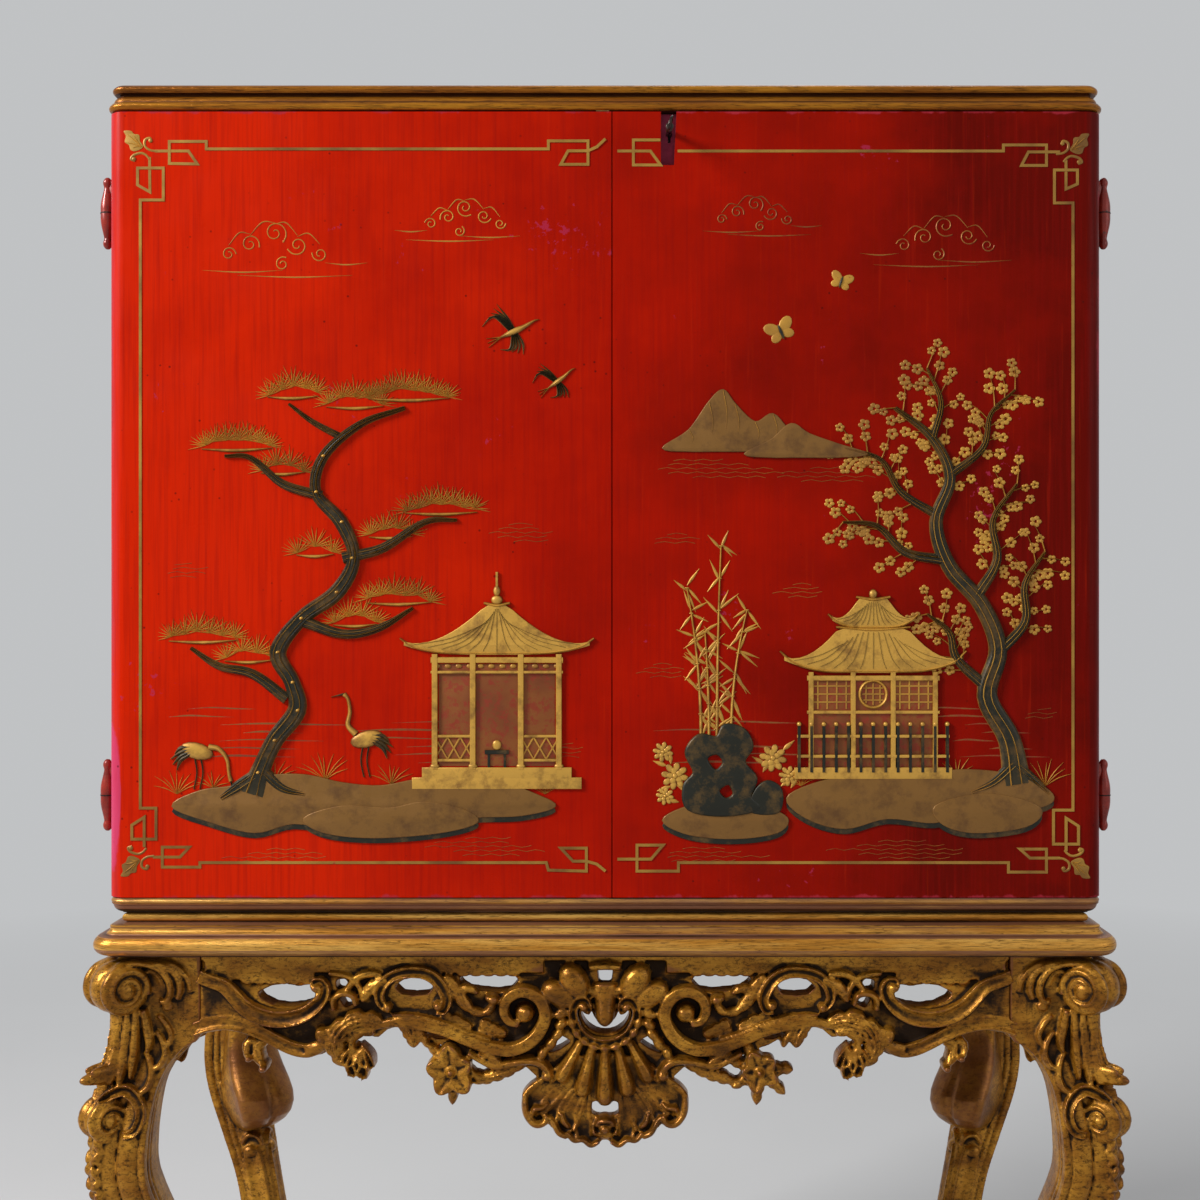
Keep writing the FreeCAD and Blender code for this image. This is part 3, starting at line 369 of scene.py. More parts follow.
def smooth_line(points, per_span=8):
    """Even curve through points; each may carry widths and heights after its place."""
    p = np.array(points, float)
    p = np.vstack([2 * p[0] - p[1], p, 2 * p[-1] - p[-2]])
    t = np.linspace(0, 1, per_span, endpoint=False)[:, None]
    runs = []
    for a, b, c, d in zip(p[:-3], p[1:-2], p[2:-1], p[3:]):
        runs.append(0.5 * (2 * b + (c - a) * t + (2 * a - 5 * b + 4 * c - d) * t ** 2
            + (3 * b - a - 3 * c + d) * t ** 3))
    return np.vstack(runs + [p[-2:-1]])


def lofted(rings):
    """Points and faces of a closed skin through rings of equally many points."""
    rings = np.asarray(rings, float)
    rows, n = rings.shape[:2]
    faces = []
    for r in range(rows - 1):
        for c in range(n):
            a, b = r * n + c, r * n + (c + 1) % n
            faces.append((a, b, b + n, a + n))
    faces.append(tuple(range(n - 1, -1, -1)))
    faces.append(tuple((rows - 1) * n + c for c in range(n)))
    return rings.reshape(-1, 3), faces


def add_object(name, data):
    piece = bpy.data.objects.new(name, data)
    bpy.context.scene.collection.objects.link(piece)
    return piece


def mesh_object(name, points, faces, edges=()):
    """Object of a mesh whose points are given in millimetres."""
    mesh = bpy.data.meshes.new(name)
    mesh.from_pydata([tuple(v) for v in np.asarray(points) * MM], edges, faces)
    mesh.update()
    return add_object(name, mesh)


def make_piece(name, points, faces, made, body, replaced=(), smooth=True):
    """Skin in one finish, riding on its body."""
    piece = mesh_object(name, points, faces)
    piece.data.materials.append(made)
    if smooth:
        piece.data.shade_smooth()
    settle(piece, body, replaced)
    return piece


def settle(piece, body, replaced=()):
    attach(piece, body)
    if replaced:
        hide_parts(*replaced)


def only(piece):
    bpy.ops.object.select_all(action="DESELECT")
    piece.select_set(True)
    bpy.context.view_layer.objects.active = piece


def apply_modifier(piece, kind, **settings):
    only(piece)
    made = piece.modifiers.new(kind.lower(), kind)
    for key, value in settings.items():
        setattr(made, key, value)
    bpy.ops.object.modifier_apply(modifier=made.name)


def by_angle(piece, degrees=35):
    only(piece)
    bpy.ops.object.shade_smooth_by_angle(angle=math.radians(degrees))


def outward(piece):
    only(piece)
    bpy.ops.object.mode_set(mode="EDIT")
    bpy.ops.mesh.select_all(action="SELECT")
    bpy.ops.mesh.remove_doubles(threshold=0.00002)
    bpy.ops.mesh.normals_make_consistent(inside=False)
    bpy.ops.object.mode_set(mode="OBJECT")


def turned(name, profile, made, steps=40):
    """Piece turned about Z: its profile, radius and level in millimetres, is spun in edit mode."""
    edges = [(i, i + 1) for i in range(len(profile) - 1)]
    piece = mesh_object(name, [(r, 0, z) for r, z in profile], [], edges)
    only(piece)
    bpy.ops.object.mode_set(mode="EDIT")
    bpy.ops.mesh.select_all(action="SELECT")
    bpy.ops.mesh.spin(steps=steps, angle=math.tau, center=(0, 0, 0), axis=(0, 0, 1))
    bpy.ops.object.mode_set(mode="OBJECT")
    outward(piece)
    piece.data.materials.append(made)
    by_angle(piece)
    return piece


def shift(piece, matrix):
    """Moves a piece's mesh, so that its object stays at the origin."""
    piece.data.transform(matrix)
    if matrix.determinant() < 0:
        piece.data.flip_normals()
    piece.data.update()


def join(pieces, name):
    only(pieces[0])
    for piece in pieces:
        piece.select_set(True)
    bpy.ops.object.join()
    pieces[0].name = name
    return pieces[0]


# Carving

FLAT = [(-1, 0), (-1, 0.72), (-0.82, 0.97), (-0.4, 1), (0.4, 1), (0.82, 0.97), (1, 0.72), (1, 0)]
ROUND = [(-1, 0), (-0.94, 0.4), (-0.74, 0.74), (-0.4, 0.94), (0, 1), (0.4, 0.94), (0.74, 0.74), (0.94, 0.4),
    (1, 0)]
HOLLOW = [(-1, 0), (-1, 0.85), (-0.88, 1), (-0.66, 0.84), (-0.3, 0.66), (0, 0.62), (0.3, 0.66),
    (0.66, 0.84), (0.88, 1), (1, 0.85), (1, 0)]
PETAL = [(-1, 0), (-0.97, 0.7), (-0.8, 0.95), (-0.5, 1), (-0.2, 0.93), (0, 0.88), (0.2, 0.93), (0.5, 1),
    (0.8, 0.95), (0.97, 0.7), (1, 0)]
RIDGED = [(-1, 0), (-0.96, 0.55), (-0.78, 0.8), (-0.6, 0.58), (-0.42, 0.9), (-0.22, 0.66), (0, 1),
    (0.22, 0.66), (0.42, 0.9), (0.6, 0.58), (0.78, 0.8), (0.96, 0.55), (1, 0)]


def strap(path, section=FLAT, base=-6, per_span=8, lobes=0, lobe_depth=0.35):
    """Band swept along a path of across, up, half-width and rise; lobes notch it like a leaf."""
    line = smooth_line(path, per_span)
    run = np.gradient(line[:, :2], axis=0)
    run /= np.maximum(np.linalg.norm(run, axis=1), 1e-6)[:, None]
    side = np.stack([-run[:, 1], run[:, 0]], 1)
    rings = []
    share = np.linspace(0, 1, len(line))
    for (u, v, half, rise), (su, sv), (ru, rv), s in zip(line, side, run, share):
        notch = 1
        if lobes:
            phase = (s * lobes) % 1
            notch = 1 - lobe_depth * max(0, 1 - 3.2 * min(phase, 1 - phase) ** 0.8)
        ring = [(u + su * a * half * notch, v + sv * a * half * notch, base + (rise - base) * h)
            for a, h in section]
        rings.append(ring)
    return np.array(rings)


def bead(u, v, ru, rv, rise, base=-5, turn=0, sides=14):
    """Rounded knob: an ellipse that rises from the ground and closes over."""
    rows = [(1, base), (1, 0), (0.97, 0.34), (0.84, 0.64), (0.58, 0.88), (0.25, 0.985), (0.03, 1)]
    angle = math.radians(turn)
    rings = []
    for scale, h in rows:
        level = h if h <= 0 else h * rise
        ring = []
        for k in range(sides):
            a = math.tau * k / sides
            p, q = ru * scale * math.cos(a), rv * scale * math.sin(a)
            ring.append((u + p * math.cos(angle) - q * math.sin(angle),
                v + p * math.sin(angle) + q * math.cos(angle), level))
        rings.append(ring)
    return np.array(rings)


def spiral(u, v, start, end, first, last, half, rise, taper=0.45, steps=13):
    """Path that winds from one radius to another between two angles in degrees."""
    rows = []
    for k in range(steps):
        s = k / (steps - 1)
        radius = start + (end - start) * s ** 0.85
        a = math.radians(first + (last - first) * s)
        width = half * (1 - (1 - taper) * s)
        rows.append((u + radius * math.cos(a), v + radius * math.sin(a), width, rise))
    return rows


class Block:
    """Carved forms that overlap; they are cut as one skin when the block is finished."""

    def __init__(self):
        self.points, self.faces, self.lifts = [], [], []

    def add(self, rings, place, flip=False):
        points, faces = lofted(rings)
        lifts = np.clip(points[:, 2] / max(points[:, 2].max(), 0.1), 0, 1)
        self.add_mesh(place(points), faces, flip, lifts)

    def add_mesh(self, points, faces, flip=False, lifts=None):
        start = len(self.points)
        self.points.extend(points)
        self.lifts.extend(np.zeros(len(points)) if lifts is None else lifts)
        for face in faces:
            face = tuple(i + start for i in face)
            self.faces.append(face[::-1] if flip else face)

    def cut(self, name, voxel, keep, rounds=2, chisel=0.16, retouch=None):
        """Object of one skin, with slight tool marks and its hollows marked for painted shade."""
        piece = mesh_object(name, self.points, self.faces)
        apply_modifier(piece, "REMESH", mode="VOXEL", voxel_size=voxel * MM)
        apply_modifier(piece, "SMOOTH", factor=0.5, iterations=rounds)
        faces_now = len(piece.data.polygons) * 2
        if faces_now > keep:
            apply_modifier(piece, "DECIMATE", ratio=keep / faces_now)
        mark_hollows(piece, chisel, retouch)
        piece.data.materials.append(CARVED_GOLD)
        piece.data.shade_smooth()
        return piece

    def plain(self, name, made, body, slot):
        """Object of the forms as they are, with how high each point stands on its form."""
        piece = make_piece(name, self.points, self.faces, made, body, smooth=False)
        write_values(piece.data, "lift", self.lifts)
        outward(piece)
        by_angle(piece, 50)
        return piece


def write_values(mesh, name, values):
    """Named value at every point of a mesh, for its finish to read."""
    made = mesh.attributes.new(name, "FLOAT", "POINT")
    made.data.foreach_set("value", np.array(values, np.float32))


def read_vectors(source, name, count):
    flat = np.zeros(count * 3)
    source.foreach_get(name, flat)
    return flat.reshape(-1, 3)


def spread_evenly(values, first, second, count, rounds):
    """Each value moved to the mean of its neighbours, some rounds over."""
    ends = np.concatenate([first, second])
    others = np.concatenate([second, first])
    shares = np.maximum(np.bincount(ends, minlength=count), 1)
    for _ in range(rounds):
        if values.ndim == 1:
            values = np.bincount(ends, values[others], count) / shares
        else:
            values = np.stack([np.bincount(ends, values[others, k], count) / shares for k in range(3)], 1)
    return values


# How many rounds of neighbours a point's near and wide surroundings take in
NEAR_ROUNDS, WIDE_ROUNDS = 3, 14


def mark_hollows(piece, chisel, retouch):
    """Writes which points lie in hollows or on ridges, and roughens the skin a little."""
    mesh = piece.data
    count = len(mesh.vertices)
    places = read_vectors(mesh.vertices, "co", count)
    normals = read_vectors(mesh.vertex_normals, "vector", count)
    edges = np.zeros(len(mesh.edges) * 2, int)
    mesh.edges.foreach_get("vertices", edges)
    first, second = edges[::2], edges[1::2]

    def evened(values, rounds):
        return spread_evenly(values, first, second, count, rounds)

    # Deep points get the hollow value that the carved gold paints as shade; proud points get the ridge value
    # for its rubbed brown.
    near = ((evened(places, NEAR_ROUNDS) - places) * normals).sum(1) / MM
    wide = ((evened(places, WIDE_ROUNDS) - places) * normals).sum(1) / MM
    depth = evened(near * 0.9 + wide * 0.3, 1)
    height = -evened(near, 1)
    marks = {"hollow": np.clip(0.4 + depth * 0.46, 0, 1), "ridge": np.clip((height - 0.22) / 0.42, 0, 1)}
    if retouch:
        retouch(places / MM, marks)
    for name, values in marks.items():
        write_values(mesh, name, values)
    chips = np.array([noise.noise(Vector(p) * 160) for p in places])
    places = places + normals * (chips * chisel * MM)[:, None]
    mesh.vertices.foreach_set("co", places.ravel())
    mesh.update()


def board_cut(outline, holes, front, back, edge=0):
    """Board in across, up and rise from an outline and its openings, with its edges rounded where asked."""
    flat = bpy.data.curves.new("board_outline", "CURVE")
    flat.dimensions, flat.fill_mode = "2D", "BOTH"
    flat.extrude = (front - back) / 2 - edge
    flat.bevel_depth, flat.bevel_resolution = edge, 2
    for run in [outline, *holes]:
        line = flat.splines.new("POLY")
        line.points.add(len(run) - 1)
        for point, (u, v) in zip(line.points, run):
            point.co = (u, v, 0, 1)
        line.use_cyclic_u = True
    holder = add_object("board_outline", flat)
    mesh = bpy.data.meshes.new_from_object(holder)
    points = np.array([v.co[:] for v in mesh.vertices])
    points[:, 2] += (front + back) / 2
    faces = [tuple(p.vertices) for p in mesh.polygons]
    bpy.data.objects.remove(holder)
    bpy.data.curves.remove(flat)
    bpy.data.meshes.remove(mesh)
    return points, faces


# Mouldings

def arc(across, up, radius, first, last, crest=1, steps=7):
    """Round part of a profile, with its crest value: how gilded it is from valley to crest, and where low,
    how much shade is painted on it.
    """
    turns = np.radians(np.linspace(first, last, steps))
    return [(across + radius * math.cos(a), up + radius * math.sin(a), crest) for a in turns]


def corner_path(half, radius):
    """Stations of a three-sided run: a place in plan and the direction in which the profile stands out."""
    stations = [((-half, BACK), (-1, 0))]
    for k in range(9):
        a = math.pi + math.pi / 2 * k / 8
        stations.append(((-half + radius + radius * math.cos(a), FRONT + radius + radius * math.sin(a)),
            (math.cos(a), math.sin(a))))
    return stations + [((-x, y), (-out_x, out_y)) for (x, y), (out_x, out_y) in reversed(stations)]


def moulding(name, profile, low, inner, half, radius, node, made):
    """Gilded moulding run round the front and both sides; a profile gives out, up and crest."""
    section = [(-inner, profile[0][1], 0.1)] + profile + [(-inner, profile[-1][1], 0.1)]
    stations = corner_path(half, radius)
    rings = []
    for (x, y), (out_x, out_y) in stations:
        ring = []
        for out, up, _ in section:
            if y < BACK and out < -radius:
                ring.append((math.copysign(half + out, x), FRONT - out, low + up))
            else:
                ring.append((x + out_x * out, y + out_y * out, low + up))
        rings.append(ring)
    points, faces = lofted(rings)
    piece = make_piece(name, points, faces, made, "case", [node])
    write_values(piece.data, "crest", np.tile([c for _, _, c in section], len(stations)))
    outward(piece)
    return piece


def cut_box(run, low, high):
    """Square hole in a moulding between two corners."""
    ring = [(low[0], low[1]), (high[0], low[1]), (high[0], high[1]), (low[0], high[1])]
    points, faces = lofted([[(*place, level) for place in ring] for level in (low[2], high[2])])
    cutter = mesh_object("hole_cutter", points, faces)
    outward(cutter)
    apply_modifier(run, "BOOLEAN", operation="DIFFERENCE", object=cutter, solver="EXACT")
    bpy.data.objects.remove(cutter)


def node_places(name):
    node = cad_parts[name]
    return np.array([node.matrix_world @ v.co for v in node.data.vertices]) / MM


def let_in(run, plate_name, bolt_name, travel):
    """Seat in a moulding for a plate, and the mortise over it for its bolt; travel is negative for a drop."""
    plate = node_places(plate_name)
    low, high = plate.min(0) - 0.15, plate.max(0) + 0.15
    low[2] -= 1 if travel > 0 else 0
    high[2] += 0 if travel > 0 else 1
    cut_box(run, low, high)
    places = node_places(bolt_name)
    lead = places[:, 2].max() if travel > 0 else places[:, 2].min()
    end = places[np.abs(places[:, 2] - lead) < 3]
    low, high = end.min(0) - 0.5, end.max(0) + 0.5
    low[2], high[2] = sorted((lead - math.copysign(4, travel), lead + travel))
    cut_box(run, low, high)


# Crest values: high on the upper sides of rolls, lower on their lower halves, near nothing in grooves and
# undersides, where shade is painted.
crown_profile = ([(-2.4, 0, 0.2)] + arc(-1.2, 4.6, 3.4, -70, 60, 0.85) + [(-0.2, 8.6, 0.3), (-2.2, 9.2, 0)]
    + arc(-9.6, 9.4, 7.2, 8, 62, 0.55) + [(-8.4, 16.6, 0.2), (-8.6, 19, 0.15), (-3.6, 19.1, 0.4)]
    + arc(-4.6, 22.6, 3.2, -60, 62, 1) + [(-4.2, 26.5, 0.7)])
plinth_profile = ([(-11, 0, 0), (-11, 0.8, 0)] + arc(-10.4, 9.6, 8.4, -84, -40, 0.02, 4)
    + arc(-10.4, 9.6, 8.4, -32, -8, 0.32, 3) + [(-0.8, 9.4, 0.15), (-0.4, 10.2, 0.36)]
    + arc(-2.2, 12.6, 2.2, -60, 60, 0.46, 5) + [(-1.4, 16, 0.35)])
stand_profile = ([(4, 0, 0), (4.6, 2.6, 0.05), (7.2, 3.2, 0.15)] + arc(9.4, 12, 9.6, -72, -24, 0.42, 6)
    + [(18.1, 8.2, 0.2)] + arc(9.4, 12, 9.6, -12, 54, 0.68, 6) + [(14, 20.8, 0.3), (10, 21.6, 0.12),
    (7, 22, 0.05)] + arc(7.6, 28, 4.8, -112, -182, 0.56, 6) + [(2.8, 28.8, 0.3), (3, 30.2, 0.72),
    (1.6, 31.2, 0.42), (-6, 31.9, 0.22), (-13.4, 32.4, 0.08)] + arc(-12.4, 36.9, 4.4, -76, 80, 1, 7)
    + [(-14, 41.5, 0.3)])
crown_run = moulding("crown_run", crown_profile, CROWN_LOW, 38, HALF_WIDTH, CORNER, "crown_moulding",
    SHADED_CROWN_GOLD)
plinth_run = moulding("plinth_run", plinth_profile, STAND_TOP, 32, HALF_WIDTH, CORNER, "plinth_moulding",
    MOULDED_GOLD)
stand_run = moulding("stand_run", stand_profile, MOULDING_LOW, 62, STAND_HALF, 6, "stand_moulding",
    MOULDED_GOLD)
let_in(crown_run, "strike_plate", "lock_bolt", 10.5)
let_in(crown_run, "upper_bolt_keeper", "upper_bolt", 13)
let_in(plinth_run, "lower_bolt_keeper", "lower_bolt", -13)
for run in (crown_run, plinth_run, stand_run):
    by_angle(run, 32)


# Front apron

def on_front(side):
    """Places a carving on the front apron, mirrored on the left."""
    return lambda p: np.stack([side * p[:, 0], -APRON_FRONT - p[:, 2], p[:, 1]], 1)


def put_on_front(rings, sides=(1, -1)):
    """Form on the front apron, on both halves unless one is named."""
    for side in sides:
        apron.add(rings, on_front(side), side < 0)


def carve(path, section=ROUND, base=-6, sides=(1, -1), **more):
    put_on_front(strap(path, section, base, **more), sides)


def knob(*measures, sides=(1, -1), **more):
    put_on_front(bead(*measures, **more), sides)


def board_on_front(run, rise, back, holes=(), sides=(1, -1)):
    """Flat board of one outline on the front apron."""
    points, faces = board_cut(run, holes, rise, back)
    for side in sides:
        apron.add_mesh(on_front(side)(points), faces, side < 0)


def mirrored(run):
    """The same places on the left half, in the other order."""
    return [(-x, z) for x, z in reversed(run)]


apron = Block()
MIDDLE = (1,)
board_half = [(JOINT, 688), (JOINT, 608), (397, 612.5), (380, 614), (362, 610), (344, 603), (331, 596),
    (315, 588), (299, 584), (285, 587), (270, 594), (256, 604), (240, 606), (228, 604), (219, 612),
    (205, 616), (188, 612), (176, 603), (164, 596), (150, 592), (136, 588), (128, 586), (113, 577),
    (96, 580), (84, 578), (76, 571), (64, 560), (50, 545), (30, 540)]
holes_half = [[(350, 649), (336, 656), (322, 658), (308, 655.5), (296, 657.5), (286, 650), (292, 641),
    (306, 636.5), (320, 635), (334, 637), (346, 643)], [(271, 662), (262, 663), (252, 653), (258, 650),
    (270, 652)], [(268, 645), (258, 646), (253, 638), (262, 634)],
    [(212, 655), (203, 662), (190, 664.5), (177, 662), (173, 654), (178, 648), (192, 646.5), (205, 648)],
    [(147, 664), (139, 668), (127, 665.5), (114, 669), (101, 666.5), (92, 668.5), (87, 661), (95, 652),
    (108, 650), (122, 651), (136, 653), (144, 658)], [(181, 608), (176, 612), (160, 607), (157, 603),
    (170, 603)], [(44, 606), (34, 600), (46, 592), (60, 587), (58, 594)]]


def crescent():
    """Moon-shaped opening between the pendant and its ring."""
    outer = [(24.5 * math.cos(a), 632 + 24 * math.sin(a)) for a in np.radians(np.linspace(182, 358, 15))]
    inner = [(13 * math.cos(a), 632 + 14 * math.sin(a)) for a in np.radians(np.linspace(352, 188, 11))]
    return outer + inner


middle_holes = [crescent(), [(8, 674), (-8, 674), (-6, 657), (6, 657)]]
all_holes = holes_half + [[(-x, z) for x, z in hole] for hole in holes_half] + middle_holes
board_on_front(board_half + mirrored(board_half), -5, -27, all_holes, MIDDLE)

# Flat fillets along the top, the lower ones with a scalloped edge
for inner_end, outer_end, low_edge, rise in ((0, JOINT, 682, -1.4), (292, 402, 663, -1),
        (62, 402, 670, -1)):
    board_on_front([(inner_end, low_edge), (outer_end, low_edge), (outer_end, 688), (inner_end, 688)], rise,
        -27)
for k in range(6):
    knob(299 + k * 12, 662.5, 6.6, 4.2, -1, -26)
for k in range(5):
    knob(92 + k * 12.5, 669, 6.2, 3, -1, -26)

# Field beside the leg, flush with the leg's block and run out under the upper scroll
board_on_front([(JOINT, 666), (JOINT, 609), (380, 613.5), (362, 610), (344, 603), (352, 622), (368, 640),
    (382, 656)], 0, -20)

# Upper hollow scroll from the joint to its curl
carve([(408, 667, 6.5, 3), (394, 662, 6.5, 4), (381, 657, 7, 5), (371, 647.5, 7.5, 6), (361, 637.5, 8, 7),
    (347, 629.5, 8.5, 8), (331, 625.5, 8.5, 8.5), (314, 626, 8.2, 8.5), (299, 631, 7.5, 8.5),
    (286.5, 641, 6.5, 8.5), (280, 652, 5.2, 8), (283, 661, 4.4, 7.5), (290, 662, 3.6, 7),
    (292.5, 656.5, 2.8, 7)], HOLLOW)
knob(289.5, 656, 5, 4.4, 9.5)
knob(287, 648, 3.4, 5.5, 9, turn=20)

# Lower arch edge: a broad cove with a bright bead that runs from the leg to its curl
arch_line = [(412, 606), (397, 611.5), (380, 613), (362, 609.5), (344, 602.5), (331, 595.5), (315, 588),
    (300, 585), (288, 588), (279.5, 594)]
carve([(x, z + 2, 2.2, 3.5) for x, z in arch_line])
carve([(x, z + 8.5, 5.5, 1 + k * 0.35) for k, (x, z) in enumerate(arch_line[:-1])], HOLLOW)
carve([(300, 592, 7, 4), (288, 596, 6.5, 6), (279, 603, 6, 8), (280, 611, 5, 9), (286, 612, 4, 9),
    (287.5, 606, 3, 8)])
knob(284, 606.5, 4.6, 5.2, 10.5)
carve([(276, 592, 2.6, 5), (272.5, 600, 3.2, 7), (273.5, 610, 3.4, 8), (278, 616, 2.6, 7)])

# Two leaves curled under the arch
for path in ([(352, 601, 5, -4), (360, 598, 5.5, -2), (361, 590, 4.6, 1), (357.5, 583.5, 3.2, 4)],
        [(341, 600, 6, -4), (350, 597, 7, -3), (350, 586, 6.4, 0), (343, 576, 4.8, 4), (340, 573, 2.8, 6)]):
    carve(path, RIDGED, -20, lobes=3, lobe_depth=0.3)
knob(356.8, 584.5, 3.6, 3.2, 6.5, -14)
knob(342.5, 574.5, 4.2, 3.4, 8, -14)

# Acanthus that rolls over the bud
acanthus = [(224, 618, 7, 4), (238, 623.5, 9.5, 8), (252, 622, 11, 12), (264, 613, 12, 14),
    (269.5, 600, 11, 14), (266.5, 588, 9, 12), (259.5, 579, 4.5, 9)]
carve(acanthus, RIDGED, -8, lobes=5, lobe_depth=0.38)
carve([(231, 611, 5, 5), (243, 612, 6, 8), (252, 606, 5, 9), (255, 598, 3, 8)], RIDGED, -8, lobes=3)
carve([(271, 614, 3, 5), (276, 607, 3.5, 8), (275, 597, 3.2, 8)], ROUND, -8)
for turn, length in ((-34, 24), (-12, 33), (11, 35), (34, 27)):
    a = math.radians(turn)
    root = (247, 598)
    tip = (root[0] - length * math.sin(a), root[1] - length * math.cos(a))
    mid = ((root[0] * 0.42 + tip[0] * 0.58), (root[1] * 0.42 + tip[1] * 0.58))
    carve([(*root, 4.5, 6), (*mid, 7.6, 13), (tip[0], tip[1], 2.4, 8)], HOLLOW, -14)
knob(247, 584, 9, 12, 9, -14)

# Small C over the second opening, with its volutes
carve([(214, 634, 3, 6), (221, 637, 3.6, 7), (226, 646, 4.6, 8), (223, 658, 5.2, 8.5), (214, 667, 5.4, 8.5),
    (200, 671.5, 5.6, 8), (184, 671.5, 5.8, 8), (171, 666, 6, 8), (162, 655, 6, 8.5), (158, 643, 5.2, 9),
    (162, 634, 4.2, 9), (169, 633.5, 3.2, 8)], HOLLOW)
knob(166.5, 638.5, 5.6, 5, 11.5)
knob(217.5, 636.5, 4.2, 4.6, 9)
carve([(219, 664, 4, 6), (229, 660, 6.5, 8), (238, 651, 6, 8), (243, 642, 3, 6)], RIDGED, lobes=3)
carve([(224, 669, 3, 4), (236, 670, 5, 5), (248, 666, 4.5, 5), (256, 657, 3.6, 5), (262, 649, 3.2, 5)])
carve([(277, 670, 3.2, 3), (264, 668.5, 3.6, 4), (253, 665, 3.4, 5), (246, 656, 3.2, 5), (243, 646, 3, 4)])
carve([(272, 633, 3, 5), (272, 644, 3.6, 7), (264, 650, 3.8, 8), (253, 648, 3.6, 8), (249, 638, 3, 6)])

# Branch and leaf between the small C and the big scroll
carve([(160, 668, 5, 4), (152, 656, 7, 7), (143, 643, 6.5, 8), (134, 634, 5, 7), (126, 631, 4.4, 7),
    (117, 632.5, 4.2, 8), (111.5, 640, 4, 9)], RIDGED, lobes=4, lobe_depth=0.3)
carve([(146, 654, 4, 6), (136, 655, 5, 7), (127, 650, 2, 5)], RIDGED, lobes=2)
knob(111.5, 644.5, 6.2, 5.4, 11)
knob(116.5, 646, 3.6, 3.4, 9)

# Big C-scroll: eye, arm and the long tail with a bead along its upper edge
scroll_arm = [(231, 616, 3, 2), (214, 620.5, 4.6, 4), (199, 621, 5.2, 5.5), (180, 618.5, 5.8, 6.5),
    (157, 612, 6, 7), (136, 603.5, 6.2, 8), (114.5, 596.8, 6.4, 9), (91, 595, 6.6, 10),
    (70, 607, 6.6, 10.5), (59.5, 628, 6.4, 10.5), (66, 646, 6.2, 10.5), (82, 653, 6, 10),
    (96.5, 646.5, 5.6, 10), (101, 634, 5, 10), (96, 623.5, 4.2, 9.5), (86, 620.5, 3.4, 9)]
carve(scroll_arm, FLAT, per_span=10)
carve([(x, z + 8.2, 1.5, 4.5) for x, z, half, rise in scroll_arm[1:7]])
knob(80.5, 630.5, 9.6, 9.4, 9.5)
knob(78.5, 632, 6.4, 6.2, 11.5)
carve([(126, 616, 9, -1), (112, 611, 8, 1), (99, 608, 4, 2)], RIDGED, lobes=3)
carve([(166, 624, 7, -1), (150, 620, 8, 1), (134, 614, 4, 1)], RIDGED, lobes=3)

# Ragged leaf that hangs from the hump
carve([(206, 622, 6, 4), (198, 615, 9, 7), (193, 606, 9, 8), (191, 596, 4.5, 6)], RIDGED, -14, lobes=3,
    lobe_depth=0.4)
carve([(190, 616, 3, 5), (183, 607, 5, 6), (178, 596, 3, 5)], RIDGED, -14, lobes=2)

# Branch that springs from the shell's side: hook, leaves and the stem to the flower
carve([(52, 562, 4, 7), (57, 573, 5, 10), (66, 581.5, 5.4, 11), (79, 583, 5, 9), (95, 580.5, 4.6, 8),
    (110, 577.5, 5, 7), (124, 583, 4.4, 7), (137, 590, 3.6, 5)], ROUND, -10)
knob(57.5, 568.5, 6.2, 5.6, 12, -12)
carve([(80, 579, 4, 4), (94, 573, 6.5, 5), (108, 568, 8, 5), (122, 563, 6.5, 4), (131, 560, 2.5, 3)],
    RIDGED, -14, lobes=5, lobe_depth=0.4)
carve([(104, 580, 4, 7), (115, 588, 6.5, 9), (124, 597, 7, 9), (134, 603, 3, 7)], RIDGED, -12, lobes=3,
    lobe_depth=0.4)
carve([(112, 583, 3, 6), (117, 594, 4.5, 8), (114, 603, 2.5, 7)], RIDGED, -12, lobes=2)


def blossom(side, turn, petals, length, half):
    """Open flower of full petals with their tips lifted, round a ringed button."""
    for k in range(petals):
        a = math.radians(turn + 360 * k / petals)
        reach = length * (1 + 0.14 * math.sin(k * 2.3))
        rows = [(2, half * 0.8, 3), (reach * 0.3, half * 1.15, 7), (reach * 0.66, half * 1.2, 9),
            (reach * 0.92, half * 0.74, 11), (reach * 1.06, half * 0.2, 10)]
        path = [(154 + r * math.cos(a), 573 + r * math.sin(a), w, rise + (k % 2) * 1.2)
            for r, w, rise in rows]
        carve(path, PETAL, -12, [side])
    for ru, rise in ((8.2, 9.5), (5.4, 13), (3, 15)):
        knob(154, 573, ru, ru, rise, sides=[side])


def spray(side, u, v, turns, rows):
    """Leaves that spread from behind a blossom."""
    for turn in turns:
        a = math.radians(turn)
        path = [(u + r * math.cos(a), v + r * math.sin(a), w, h) for r, w, h in rows]
        carve(path, RIDGED, -14, [side], lobes=2)


blossom(-1, 12, 5, 23.5, 9.6)
spray(-1, 154, 573, (48, 195, 268), ((8, 4, 0), (19, 7.5, 3), (29, 5, 4), (35, 1.6, 4)))
blossom(1, 40, 5, 18.5, 7.8)
spray(1, 156, 571, (5, 118, 160, 208, 262, 318), ((8, 4, 0), (17, 7, 4), (27, 5.5, 6), (33, 1.6, 5)))

